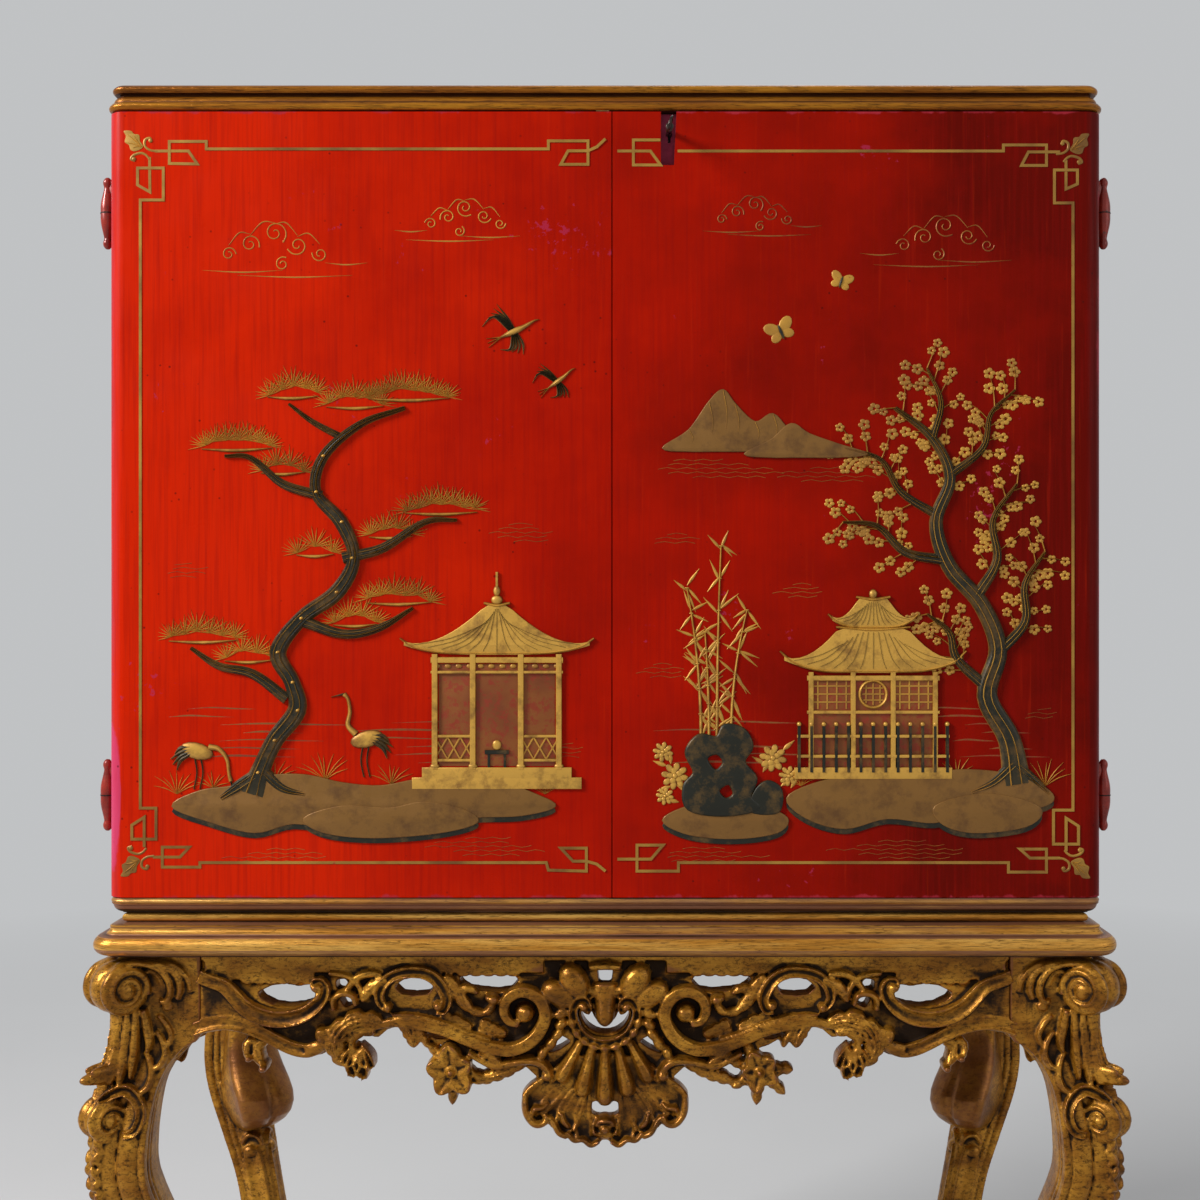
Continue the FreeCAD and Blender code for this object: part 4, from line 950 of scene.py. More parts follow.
# Shell over the crescent: four lobes, a crown bead, the pendant and its volutes
for u, v, ru, rv, turn, rise in ((30.5, 662.5, 13.5, 20, -34, 14), (45.5, 649.5, 12.5, 19.5, -64, 12.5)):
    knob(u, v, ru, rv, rise, -8, turn)
carve([(16, 676, 4, 6), (8, 677.5, 4.8, 8), (0, 678, 5, 8.5)])
carve([(-9, 677.5, 4.8, 8), (0, 678, 5, 9), (9, 677.5, 4.8, 8)], sides=MIDDLE)
carve([(16, 652, 7, 5), (24, 644, 6, 6), (34, 638, 5, 7), (42, 634, 3, 6)], HOLLOW)
carve([(0, 660, 13, 6), (0, 650, 12.5, 8), (0, 640, 10.5, 11), (0, 630, 10.5, 14), (0, 622.5, 8.5, 13),
    (0, 618.5, 4, 9)], sides=MIDDLE)
carve([(4, 650, 3, 6), (12, 652, 5, 6), (20, 655, 6, 5)])
carve([(19, 630, 2.6, 9), (16, 636, 3.2, 10), (19, 643.5, 3.6, 11), (26, 643.5, 3.8, 11),
    (31, 636.5, 4, 11), (31, 625, 4.4, 10), (25.5, 613, 4.6, 9), (16, 604.5, 4.8, 9), (6, 601.2, 4.8, 9),
    (-3, 600.8, 4.8, 9)], HOLLOW)
knob(21, 637.5, 4.6, 4.4, 12.5)
for k in range(-4, 5):
    a = math.radians(-90 + k * 18.5)
    knob(34.5 * math.cos(a), 631 + 35 * math.sin(a), 4.2, 6.2, 9.5, -8, math.degrees(a), sides=MIDDLE)

# Husks beside the shell
carve([(54, 637, 5, 6), (46, 633, 5, 8), (38, 631, 3, 7)], HOLLOW)
for u, v, ru, rv, turn in ((44.5, 630, 8, 5, -18), (44, 619.5, 7.4, 4.6, -30), (47.5, 609, 7.6, 4.8, -42),
        (54, 600, 8.2, 5.2, -55), (62.5, 590.5, 7.2, 4.8, -70)):
    knob(u, v, ru, rv, 9, -12, turn)

# Gadroons: long drops that swell to rounded ends
for x0, z0, x1, z1, w0, w1, rise in ((0, 596, 0, 545, 5.5, 10.4, 14), (13, 595, 23, 553, 5.2, 10, 13),
        (25, 600, 43.5, 566, 4.8, 9.2, 11)):
    path = [(x0 + (x1 - x0) * s, z0 + (z1 - z0) * s, w0 + (w1 - w0) * k, rise * lift)
        for s, k, lift in ((0, 0, 0.55), (0.3, 0.25, 0.72), (0.6, 0.65, 0.9), (0.85, 1, 1), (1, 0.9, 0.95),
        (1.1, 0.42, 0.7))]
    carve(path, ROUND, -12, (1, -1) if x0 else MIDDLE)

# Lower shell: a ruffled skirt of folded lobes that curl forward at the rim
skirt_hole = [(13, 541), (0, 543), (-13, 541), (-13.5, 530), (-9, 527.5), (0, 527), (9, 527.5), (13.5, 530)]
skirt_half = [(0, 503), (12, 501), (22, 506), (34, 509), (44, 513), (52, 524), (60, 519), (68, 517),
    (78, 528), (79, 545), (72, 553), (62, 562), (48, 578), (30, 585), (12, 590)]
board_on_front(skirt_half + mirrored(skirt_half[1:]), 1, -13, [skirt_hole], MIDDLE)
for path in ([(38, 568, 9, 2), (52, 556, 14, 3), (65, 546, 16, 5), (73, 538, 15, 7)],
        [(32, 560, 8, 3), (45, 544, 12, 2), (56, 532, 13, 4), (62, 524, 11, 8)],
        [(25, 552, 8, 4), (33, 536, 12, 3), (38, 523, 12, 5), (40, 515, 10, 8)],
        [(18.5, 548, 4, 4), (22, 530, 7.5, 3), (21, 516, 10, 5), (18, 507, 10, 9)]):
    carve(path, HOLLOW, -14)
carve([(79, 551, 3, 5), (80, 541, 4.2, 9), (78, 530, 5, 11), (70, 521, 5.4, 12), (61, 522, 4.6, 12),
    (58, 530, 3.4, 10)], ROUND, -10)
carve([(57, 541, 2.6, 5), (62, 537, 3.6, 9), (70, 536, 3.8, 11), (73, 530, 2.8, 9)], ROUND, -8)
carve([(56, 528, 3, 8), (51, 521, 4, 10), (46, 512, 4.6, 10), (38, 507.5, 4.4, 9)], ROUND, -10)
carve([(38, 512, 3.4, 8), (31, 504.5, 4.4, 9), (22, 505, 4, 10), (14, 499.5, 4.4, 9), (6, 503, 3.2, 10)],
    ROUND, -10)
carve([(44, 531, 2.6, 6), (41, 522, 3.6, 8), (36, 517, 2.6, 7)], ROUND, -6)
carve([(-9, 518, 3, 8), (-6, 523.5, 3.6, 11), (0, 525, 4.2, 13), (6, 523.5, 3.6, 11), (9, 518, 3, 8)],
    ROUND, -8, sides=MIDDLE)
knob(0, 516, 6.4, 5.2, 12, -12, sides=MIDDLE)
carve([(-13, 511, 3, 5), (0, 508, 5, 6), (13, 511, 3, 5)], ROUND, -12, sides=MIDDLE)

# Board's tenons into the legs
board_on_front([(JOINT - 2, 632), (JOINT + 19.5, 632), (JOINT + 19.5, 676), (JOINT - 2, 676)], -9, -18)


def apron_shade_and_fillets(places, marks):
    """More painted shade deep behind the carving, and plain gold on the fillets under the moulding."""
    marks["hollow"] += np.interp(places[:, 1], (-201.8, -199), (0, 0.07))
    marks["ridge"] *= np.interp(places[:, 2], (675, 681), (1, 0))


carved_front = apron.cut("carved_front_apron", voxel=1.35, keep=190000, retouch=apron_shade_and_fillets)
settle(carved_front, "case", ["front_apron"])


# Side aprons

def on_side(side):
    """Places a carving on a side apron; its run counts from the middle of the side."""
    return lambda p: np.stack([side * (490 + p[:, 2]), p[:, 0], p[:, 1]], 1)


def side_apron(side, name, node):
    block = Block()
    place = on_side(side)
    half = [(122, 688), (122, 609), (110, 613), (97, 607), (85, 599), (76, 599), (62, 607), (49, 600),
        (37, 599), (24, 583), (0, 576)]
    hole = [(76, 654), (66, 661), (52, 663), (38, 658), (36, 648), (42, 636), (56, 632), (70, 638)]
    outline = half + mirrored(half[:-1])
    points, faces = board_cut(outline, [hole, [(-y, z) for y, z in hole]], -5, -27)
    block.add_mesh(place(points), faces)
    points, faces = board_cut([(-122, 678), (122, 678), (122, 688), (-122, 688)], [], 1.5, -27)
    block.add_mesh(place(points), faces)
    edge = [(128, 607), (110, 613), (97, 606.5), (85, 600), (74, 600), (61, 607.5), (49, 601), (39, 597)]

    def add(rings):
        turned_rings = rings.copy()
        turned_rings[..., 0] *= -1
        block.add(rings, place, side < 0)
        block.add(turned_rings, place, side > 0)

    add(strap([(y, z + 2, 2.2, 3.5) for y, z in edge], ROUND))
    add(strap([(y, z + 8, 5, 1.2) for y, z in edge], HOLLOW))
    add(strap([(124, 666, 6, 3), (106, 660, 7, 4), (94, 648, 7.5, 6), (84, 632, 7.5, 8), (66, 622, 7, 9),
        (44, 624, 6.6, 9), (29, 637, 6.2, 9), (27, 654, 6, 9), (38, 666, 5.6, 9), (52, 662, 4.6, 9),
        (54, 651, 3.6, 9), (46, 648, 3, 9)], HOLLOW))
    add(bead(47.5, 655, 6.6, 6.4, 10))
    add(strap([(84, 668, 4, 3), (72, 672, 5, 6), (62, 668, 4, 6)], RIDGED, lobes=3))
    add(strap([(64, 610, 5, 4), (54, 602, 7, 7), (42, 592, 6.5, 8), (34, 584, 3, 6)], RIDGED, -12, lobes=4))
    add(bead(11, 660, 8.5, 13, 12, -8, -20))
    add(bead(22, 618, 6.5, 4.4, 8, -8, 40))
    for y, low, wide, rise in ((0, 582, 7.6, 13), (13, 588, 6.8, 11.5), (24, 600, 5.6, 9)):
        rings = strap([(y * 0.55, 634, 4, rise * 0.6), (y * 0.8, 612, 5.6, rise * 0.85),
            (y, low + 8, wide, rise), (y, low, wide * 0.5, rise * 0.7)], ROUND, -12)
        if y:
            add(rings)
        else:
            block.add(rings, place, side < 0)
    block.add(bead(0, 644, 11, 12, 14), place, side < 0)
    carved = block.cut(name, voxel=1.5, keep=60000)
    settle(carved, "case", [node])


side_apron(1, "carved_right_apron", "right_apron")
side_apron(-1, "carved_left_apron", "left_apron")


# Legs

OUTER_CURVE = [(0, -48), (30, -62), (60, -76), (95, -83), (140, -81.5), (190, -72.5), (240, -60.5),
    (291, -44.5), (340, -30.5), (389, -9.5), (430, 8.5), (460, 17), (484, 18.5), (512, 15.5), (550, 6),
    (575, -1), (595, -4), (612, -4.5), (688, -4.5)]
INNER_CURVE = [(0, -100), (30, -108), (60, -119), (95, -121), (140, -118.5), (190, -111.5), (240, -101),
    (291, -88.5), (340, -76), (389, -62.5), (450, -44.5), (475, -39.5), (500, -39.5), (527, -41.5),
    (555, -46), (575, -54), (588, -64), (600, -76), (609, -87), (688, -87)]


def reach_of(curve, level):
    line = smooth_line(curve, 6)
    return np.interp(level, line[:, 0], line[:, 1])


def on_outer_face(p):
    """A leg's outer face: across is the reach along the front, rise stands out from the curved face."""
    return np.stack([p[:, 0], reach_of(OUTER_CURVE, p[:, 1]) + p[:, 2], p[:, 1]], 1)


def on_inner_face(p):
    return np.stack([p[:, 0], reach_of(INNER_CURVE, p[:, 1]) - p[:, 2], p[:, 1]], 1)


def swapped(place):
    """The same place on the leg's other face, across its diagonal."""
    return lambda p: place(p)[:, [1, 0, 2]]


def on_corner(p):
    """Across the leg's diagonal, up, and out along the diagonal."""
    return np.stack([(p[:, 2] + p[:, 0]) / math.sqrt(2), (p[:, 2] - p[:, 0]) / math.sqrt(2), p[:, 1]], 1)


FACE_CUT = [(0, 1.2), (0.03, 0.1), (0.1, 0), (0.125, 2.2), (0.155, 2), (0.18, 0.2), (0.26, -0.9),
    (0.36, -1.3), (0.45, -0.4), (0.485, 0.6), (0.505, 4.4), (0.525, 4.4), (0.55, 1.4), (0.66, 0.6),
    (0.8, 0.6), (0.91, 1.6), (0.965, 4)]
BACK_CUT = [(0.965, 1.2), (0.9, 0), (0.84, 0.4), (0.82, 2.4), (0.79, 2.4), (0.77, 0.4), (0.7, 0.2),
    (0.68, 2.2), (0.65, 2.2), (0.62, 0.6), (0.4, 0), (0.2, 0.8), (0.08, 3)]


def shaft_rings():
    rings = []
    for level in np.arange(0.5, 660, 6):
        outer, inner = reach_of(OUTER_CURVE, level), reach_of(INNER_CURVE, level)
        side = outer - inner
        show = 1 if 20 < level < 560 else 0.35
        front = [(inner + a * side, outer - d * show) for a, d in FACE_CUT]
        rear = [(inner + a * side, inner + d * show) for a, d in BACK_CUT]
        ring = front + [(y, x) for x, y in reversed(front)]
        ring += rear + [(y, x) for x, y in reversed(rear)]
        rings.append([(x, y, level) for x, y in ring])
    return np.array(rings)


def square_rings(low, high, bottom, top):
    """Square block on the leg's diagonal."""
    corners = ((low, low), (high, low), (high, high), (low, high))
    return np.array([[(x, y, z) for x, y in corners] for z in (bottom, top)])


def roll_rings(reach, level, radius, ends, cut):
    """Ridged roll along the diagonal's cross direction: radius shares at steps of its length."""
    rings = []
    for s, share in cut:
        w = ends * (2 * s - 1)
        rings.append([(w, level + radius * share * math.sin(a), reach + radius * share * math.cos(a))
            for a in np.linspace(0, math.tau, 40, endpoint=False)])
    return np.array(rings)


def volute_face(block, reach, level, radius, ends, turns=1.55):
    """Spiral and eye on both ends of a roll."""
    for side in (1, -1):
        def place(p, side=side):
            return on_corner(np.stack([side * (ends + p[:, 2]), p[:, 1], p[:, 0]], 1))

        path = spiral(reach, level, radius * 0.86, radius * 0.3, 200, 200 - 360 * turns, radius * 0.15, 3.4,
            0.62, 20)
        block.add(strap(path, ROUND, -5, 4), place, side > 0)
        block.add(bead(reach, level - radius * 0.04, radius * 0.3, radius * 0.3, 4.6, -6), place, side > 0)


REEL = [(0, 0.3), (0, 0.78), (0.03, 0.92), (0.09, 1), (0.17, 0.97), (0.22, 0.84), (0.27, 0.82),
    (0.33, 0.95), (0.42, 1.01), (0.5, 1.03), (0.58, 1.01), (0.67, 0.95), (0.73, 0.82), (0.78, 0.84),
    (0.83, 0.97), (0.91, 1), (0.97, 0.92), (1, 0.78), (1, 0.3)]
SMALL_REEL = [(0, 0.3), (0, 0.8), (0.06, 0.97), (0.18, 1), (0.3, 0.93), (0.38, 0.82), (0.5, 0.97),
    (0.62, 0.82), (0.7, 0.93), (0.82, 1), (0.94, 0.97), (1, 0.8), (1, 0.3)]


def horn_wear(places, marks):
    """Rubs the horn down to the rosy brown."""
    inner = reach_of(INNER_CURVE, places[:, 2]) * math.sqrt(2)
    standing = np.clip((inner - 3 - (places[:, 0] + places[:, 1]) / math.sqrt(2)) / 6, 0, 1)
    on_horn = (places[:, 2] > 380) & (places[:, 2] < 600)
    marks["ridge"] = np.maximum(marks["ridge"], np.where(on_horn, standing * 0.62, 0))


def carved_leg(horned):
    """One leg in reaches from the stand's corner; the rear pair also has a horn on its inner corner."""
    block = Block()
    block.add(shaft_rings(), lambda p: p)
    block.add(square_rings(-87, -4.5, 606, 687.6), lambda p: p)

    def faces(rings, place=on_outer_face):
        block.add(rings, place)
        block.add(rings, swapped(place), True)

    def band(path, section=ROUND, base=-6, place=on_outer_face):
        faces(strap(path, section, base), place)

    # Rolls at the head and the knee, each with a spiral on both ends
    block.add(roll_rings(-5, 657, 25.5, 25, REEL), on_corner)
    volute_face(block, -5, 657, 25.5, 25)
    block.add(roll_rings(8, 528, 21.5, 15, SMALL_REEL), on_corner)
    volute_face(block, 8, 528, 19.5, 15)

    # Ridged ear that winds off the head roll towards the rail
    band([(8, 664, 3, 20), (-3, 676, 3.4, 20), (-14, 681, 3.8, 18), (-31, 681.5, 4.2, 14),
        (-47, 676, 4.6, 11), (-56.5, 664, 4.6, 9), (-58.5, 651, 4.4, 8), (-54, 642, 4, 7),
        (-48, 642.5, 3.2, 6)])
    band([(-36, 682.5, 3.2, 10), (-52, 679, 4, 9), (-64, 669, 4.4, 7), (-68, 655, 4.2, 6),
        (-65, 644, 3.2, 5)])
    band([(-46, 683, 2.6, 6), (-63, 678, 3.4, 5.5), (-75, 665, 3.8, 4.5), (-78.5, 652, 3, 3.5)])
    faces(bead(-56, 637, 6, 4.6, 6, turn=-20))
    band([(-24, 668, 7, 3), (-38, 664, 8, 3), (-46, 654, 5, 2)], HOLLOW)

    # Hanging leaves between the rolls
    band([(-10, 632, 4.5, 10), (-6, 608, 6, 9), (-1, 587, 7, 9), (4, 572, 6, 10), (9, 562, 3, 10)], RIDGED)
    band([(-18, 634, 4.5, 12), (-14.5, 606, 6, 10), (-12, 583, 6.2, 10), (-10.5, 566, 4.2, 11),
        (-10, 560, 1.6, 9)])
    band([(-25, 634, 4, 11), (-23.5, 610, 5.4, 9), (-22, 588, 5.6, 9), (-21, 572, 3.8, 9),
        (-20.5, 566, 1.6, 7)])
    band([(-32, 634, 4.4, 9), (-35, 617, 6, 8), (-37.5, 602, 5.4, 8), (-35.5, 592, 2.6, 7)])
    band([(-46, 628, 3, 4), (-54, 620, 3.8, 6), (-59, 609, 3.8, 6), (-57, 599, 2.6, 5)])
    band([(-44, 612, 3, 4), (-51, 602, 4, 7), (-54, 590, 4.4, 8), (-49, 579, 4.2, 8), (-41, 577, 3.2, 7),
        (-37, 582, 2.2, 6)])
    band([(-33, 592, 3, 4), (-39, 582, 4, 7), (-41, 569, 4.2, 8), (-37, 558, 4, 8), (-29, 554, 3.2, 7),
        (-26, 559, 2.2, 6)])
    block.add(strap([(0, 640, 6, 2), (0, 615, 8, 3), (0, 592, 10, 8), (0, 575, 11, 17), (0, 566, 9, 26),
        (0, 566, 5, 31)], RIDGED, -14), on_corner)
    block.add(bead(0, 569.5, 8.5, 7.5, 33, 0), on_corner)
    block.add(bead(6, 577, 4, 6, 25, 0, 20), on_corner)
    block.add(bead(-6, 577, 4, 6, 25, 0, -20), on_corner)

    # Outer turn of the knee scroll
    band([(8, 545, 4, 12), (-4, 554, 5, 13), (-18, 557, 5.6, 12), (-30, 547, 5.6, 10), (-34, 532, 5, 8),
        (-28, 518, 4.4, 7), (-17, 515, 3, 7)], HOLLOW)

    # Leafage cut along the outer corner below the knee
    for k in range(15):
        level = 505 - k * 13.5
        size = 1 - 0.035 * k
        reach = reach_of(OUTER_CURVE, level)
        tilt = 30 if k % 2 else -24
        faces(bead(reach - 8.5 * size, level, 3.6 * size, 7.4 * size, 4.2, -3, tilt))
        band([(reach - 15 * size, level + 5, 1.2, 1.5), (reach - 11 * size, level - 2, 2.2, 3.5),
            (reach - 14 * size, level - 8, 1.2, 2)], ROUND, -3)

    # Horn on the inner corner: a full rounded form that swells downward and ends in two lobes
    if horned:
        horn = []
        for level, q, wide, crown in ((618, -58, 8, 4), (590, -60, 14, 7), (560, -62, 20, 10),
                (530, -65, 25, 13), (505, -70, 29, 15), (482, -79, 33, 17), (462, -91, 36, 19),
                (446, -103, 38, 20), (434, -111, 38, 19), (422, -114, 37, 18), (410, -111, 34, 16),
                (400, -102, 30, 13), (392, -90, 24, 9)):
            groove = 4.5 * min(1, max(0, (470 - level) / 40))
            rim = [(wide * math.sin(a), q + crown * (1 - math.cos(a)) + groove
                * math.exp(-(math.sin(a) / 0.13) ** 2)) for a in np.linspace(-math.pi / 2, math.pi / 2, 19)]
            horn.append([(w, level, depth) for w, depth in rim] + [(wide * 0.8, level, -38),
                (-wide * 0.8, level, -38)])
        block.add(np.array(horn), on_corner)

    # Inner faces: a rim over a hollow, and two ridges that run down from a bead
    middle = [(level, (reach_of(OUTER_CURVE, level) + reach_of(INNER_CURVE, level)) / 2 - 4)
        for level in (368, 350, 310, 260, 210, 160, 115)]
    band([(u, v, w, 2.6) for (v, u), w in zip(middle, (9, 11, 10.5, 9.5, 9, 8, 5))], HOLLOW, -4,
        on_inner_face)
    faces(bead(middle[0][1], 366, 8.5, 6.5, 5), on_inner_face)
    band([(middle[0][1] - 15, 372, 2.4, 2), (middle[0][1] - 8, 382, 3.4, 5),
        (middle[0][1] + 3, 384, 3.6, 5), (middle[0][1] + 11, 374, 2.4, 3)], place=on_inner_face)
    for k, (turn, drop) in enumerate(((-10, 585), (6, 590), (20, 598))):
        band([(-44 + turn * 0.6, 612, 4, 0), (-46 + turn, 600, 5, 3), (-44 + turn * 1.3, drop - 10, 4, 4),
            (-40 + turn * 1.4, drop - 16, 2, 3)], ROUND, -8, on_inner_face)

    # Foot: a scroll that rolls out over a pad, with a leaf up its front
    block.add(roll_rings(-80, 25, 19, 18, SMALL_REEL), on_corner)
    volute_face(block, -80, 25, 17, 18, 1.3)
    block.add(square_rings(-100, -56, 0.1, 7), lambda p: p)
    block.add(strap([(0, 120, 4, -110), (0, 95, 9, -106), (0, 66, 12, -92), (0, 44, 9, -68)], RIDGED, -130),
        on_corner)
    return block


def set_leg(source, side_x, side_y, name, node):
    """A leg's mesh put at one corner of the stand."""
    leg = add_object(name, source.data.copy())
    corner = Matrix.Translation((side_x * STAND_HALF * MM, side_y * BACK * MM, 0))
    shift(leg, corner @ Matrix.Diagonal((side_x, side_y, 1, 1)))
    settle(leg, "case", [node])


for leg_y, row in ((1, "rear"), (-1, "front")):
    pattern_leg = carved_leg(row == "rear").cut("leg_pattern", voxel=1.4, keep=150000, retouch=horn_wear)
    for leg_x, hand in ((1, "right"), (-1, "left")):
        set_leg(pattern_leg, leg_x, leg_y, f"carved_{row}_{hand}_leg", f"{row}_{hand}_leg")
    bpy.data.objects.remove(pattern_leg)


# Hinges and key

HINGE_METAL = painted_metal()
KEY_METAL = metal("worn_key_iron", (0.02, 0.016, 0.013), (0.1, 0.085, 0.072), 0.34)
OLIVE = [(6.9, 0.6), (6.9, 6.5), (6.3, 12), (4.9, 18.5), (3.7, 24), (3.6, 26.6), (4.5, 30), (4, 33.4),
    (2, 36), (0.02, 36.5)]
PIN_RADIUS, PIN_HEIGHT = 2.4, 21
LEAF_NEAR, LEAF_FAR, LEAF_LOW, LEAF_HIGH = 2.5, 23.6, 2, 32
LEAF_BACK, LEAF_THICK = 0.5, 2
KEY_TIP = -187.1
BIT_TURN, BOW_TURN = 135, 70


def leaf_plate(side, level, rear):
    """Hinge leaf let in between door and case side, with softened edges."""
    front = HINGE_Y + (LEAF_BACK if rear else -LEAF_BACK - LEAF_THICK)
    middle = (side * (HINGE_X - (LEAF_NEAR + LEAF_FAR) / 2), front + LEAF_THICK / 2,
        level + (-1 if rear else 1) * (LEAF_LOW + LEAF_HIGH) / 2)
    bpy.ops.mesh.primitive_cube_add(size=1, location=[v * MM for v in middle])
    plate = bpy.context.object
    plate.scale = ((LEAF_FAR - LEAF_NEAR) * MM, LEAF_THICK * MM, (LEAF_HIGH - LEAF_LOW) * MM)
    bpy.ops.object.transform_apply(location=True, rotation=False, scale=True)
    apply_modifier(plate, "BEVEL", width=0.4 * MM, segments=2)
    plate.data.materials.append(HINGE_METAL)
    by_angle(plate)
    return plate


def olive(side, level, upper):
    """One half of an olive hinge, turned in a smooth line; the lower half carries the pin."""
    outer = [(max(r, 0.02), z) for r, z in smooth_line(OLIVE, 4)]
    if upper:
        inner = [(0.02, PIN_HEIGHT + 0.4), (PIN_RADIUS + 0.2, PIN_HEIGHT + 0.4), (PIN_RADIUS + 0.2, 0.7)]
        profile = inner + outer
    else:
        profile = [(0.02, PIN_HEIGHT), (PIN_RADIUS - 0.4, PIN_HEIGHT), (PIN_RADIUS, PIN_HEIGHT - 0.6),
            (PIN_RADIUS, -0.5)] + [(r, -z) for r, z in outer]
    piece = turned("olive", profile, HINGE_METAL, 32)
    shift(piece, Matrix.Translation((side * HINGE_X * MM, HINGE_Y * MM, level * MM)))
    return piece


def hang_hinges():
    lower = []
    for side, hand in ((1, "right"), (-1, "left")):
        upper = []
        for level in HINGE_LEVELS:
            upper += [olive(side, level, True), leaf_plate(side, level, False)]
            lower += [olive(side, level, False), leaf_plate(side, level, True)]
        settle(join(upper, f"{hand}_olive_halves"), f"{hand}_door",
            [f"{hand}_hinge_door_halves"])
    settle(join(lower, "case_olive_halves"), "case", ["hinge_case_halves"])


def cut_key():
    """Hollow old key: turned shank and collar, a worn ring for a bow, and a bit with one ward cut."""
    profile = [(0.02, 23), (1.35, 23), (1.35, 0), (2.5, 0), (2.75, 0.5), (2.75, 34), (2.75, 35),
        (3.5, 35.6), (3.5, 36.4), (2.9, 37), (2.9, 39.4), (3.8, 40), (3.8, 41.6), (3.1, 42.2), (0.02, 42.4)]
    shank = turned("shank", profile, KEY_METAL, 32)
    bpy.ops.mesh.primitive_torus_add(major_segments=48, minor_segments=16, major_radius=7.1 * MM,
        minor_radius=1.4 * MM)
    ring = bpy.context.object
    ring.scale = (1, 0.94, 1)
    bpy.ops.object.transform_apply(location=False, rotation=False, scale=True)
    ring.data.transform(Matrix.Rotation(math.radians(90), 4, "X"))
    ring.data.transform(Matrix.Translation((0, 0, 49.1 * MM)))
    ring.data.materials.append(KEY_METAL)
    by_angle(ring, 60)
    rows = [(8.2, 2.4), (8.2, 7.8), (13.2, 8), (13.2, 5.4), (11.6, 5.2), (11.6, 4.2), (13.2, 4),
        (13.2, 2.4)]
    points = [(x, reach, z) for x in (-1, 1) for z, reach in rows]
    count = len(rows)
    faces = [tuple(range(count)), tuple(range(2 * count - 1, count - 1, -1))]
    faces += [(k, (k + 1) % count, (k + 1) % count + count, k + count) for k in range(count)]
    bit = mesh_object("bit", points, faces)
    outward(bit)
    apply_modifier(bit, "BEVEL", width=0.2 * MM, segments=2)
    bit.data.materials.append(KEY_METAL)
    shift(bit, Matrix.Rotation(math.radians(BIT_TURN), 4, "Z"))
    shift(ring, Matrix.Rotation(math.radians(BOW_TURN), 4, "Z"))
    whole = join([shank, ring, bit], "hollow_key")
    tip = Matrix.Translation((KEY_X * MM, KEY_TIP * MM, KEY_Z * MM))
    shift(whole, tip @ Matrix.Rotation(math.radians(90), 4, "X"))
    settle(whole, "key", ["key"])


hang_hinges()
cut_key()


# Raised and painted work on the doors

STROKE = [(-1, 0), (-0.72, 0.62), (0, 1), (0.72, 0.62), (1, 0)]
NEEDLE = [(-1, 0), (0, 1), (1, 0)]
BARK = [(-1, 0), (-0.92, 0.55), (-0.62, 0.95), (-0.3, 0.78), (0.02, 1), (0.38, 0.8), (0.7, 0.92),
    (0.94, 0.5), (1, 0)]
chance = random.Random(11)


def on_door(p):
    return np.stack([p[:, 0], FRONT - p[:, 2], p[:, 1]], 1)


def smooth_ring(points, per_span=5):
    """Closed even curve through points."""
    doubled = smooth_line([*points[-2:], *points, *points[:3]], per_span)
    return [tuple(v) for v in doubled[2 * per_span:(2 + len(points)) * per_span]]


def fret(points, half=1.4, rise=0.25, growth=0.05):
    """Painted line with mitred corners, a little thicker with each turn, so that it lies over itself."""
    p = np.array(points, float)
    runs = np.diff(p, axis=0)
    runs /= np.linalg.norm(runs, axis=1)[:, None]
    across = np.stack([-runs[:, 1], runs[:, 0]], 1)
    before, after = np.vstack([across[:1], across]), np.vstack([across, across[-1:]])
    mitre = (before + after) / (1 + (before * after).sum(1))[:, None]
    rings = []
    for k, (q, m) in enumerate(zip(p, mitre)):
        level = rise + growth * k
        rings.append([(*(q + m * half), -0.4), (*(q + m * half), level), (*(q - m * half), level),
            (*(q - m * half), -0.4)])
    return np.array(rings)


class Picture:
    """A door's decoration, gathered by finish and put on as a few skins."""

    def __init__(self, side):
        self.side, self.blocks = side, {}

    def add(self, made, rings):
        self.blocks.setdefault(made.name, (made, Block()))[1].add(np.asarray(rings, float), on_door)

    def stroke(self, made, path, section=STROKE, per_span=4, **more):
        self.add(made, strap(path, section, -0.4, per_span, **more))

    def knob(self, made, x, z, across, up, rise, turn=0, sides=8):
        self.add(made, bead(x, z, across, up, rise, -0.4, turn, sides))

    def bar(self, made, x0, z0, x1, z1, half, rise):
        self.stroke(made, [(x0, z0, half, rise), ((x0 + x1) / 2, (z0 + z1) / 2, half, rise),
            (x1, z1, half, rise)], FLAT, 1)

    def slab(self, made, x0, z0, x1, z1, rise, edge):
        self.patch(made, [(x0, z0), (x1, z0), (x1, z1), (x0, z1)], rise, edge, even=False)

    def patch(self, made, outline, rise, edge=0.9, holes=(), even=True):
        shape = smooth_ring(outline) if even else outline
        points, faces = board_cut(shape, [smooth_ring(hole, 3) for hole in holes], rise, -0.8, edge)
        block = self.blocks.setdefault(made.name, (made, Block()))[1]
        block.add_mesh(on_door(points), faces, lifts=np.clip(points[:, 2] / rise, 0, 1))

    def fan(self, x, z, count, reach, first, last, half, droop=0):
        """Needles or leaves that spread from a point."""
        for k in range(count):
            a = math.radians(first + (last - first) * (k + chance.uniform(-0.3, 0.3)) / max(count - 1, 1))
            r = reach * chance.uniform(0.78, 1.05)
            u, v = math.cos(a), math.sin(a)
            self.stroke(GOLD_PAINT, [(x, z, half * 0.5, 0.5), (x + u * r * 0.5, z + v * r * 0.5, half, 0.8),
                (x + u * r, z + v * r - droop * r, half * 0.25, 0.4)], NEEDLE, 2)

    def finish(self):
        for name, (made, block) in self.blocks.items():
            block.plain(f"{self.side}_{name}", made, self.side + "_door", "red_lacquer")


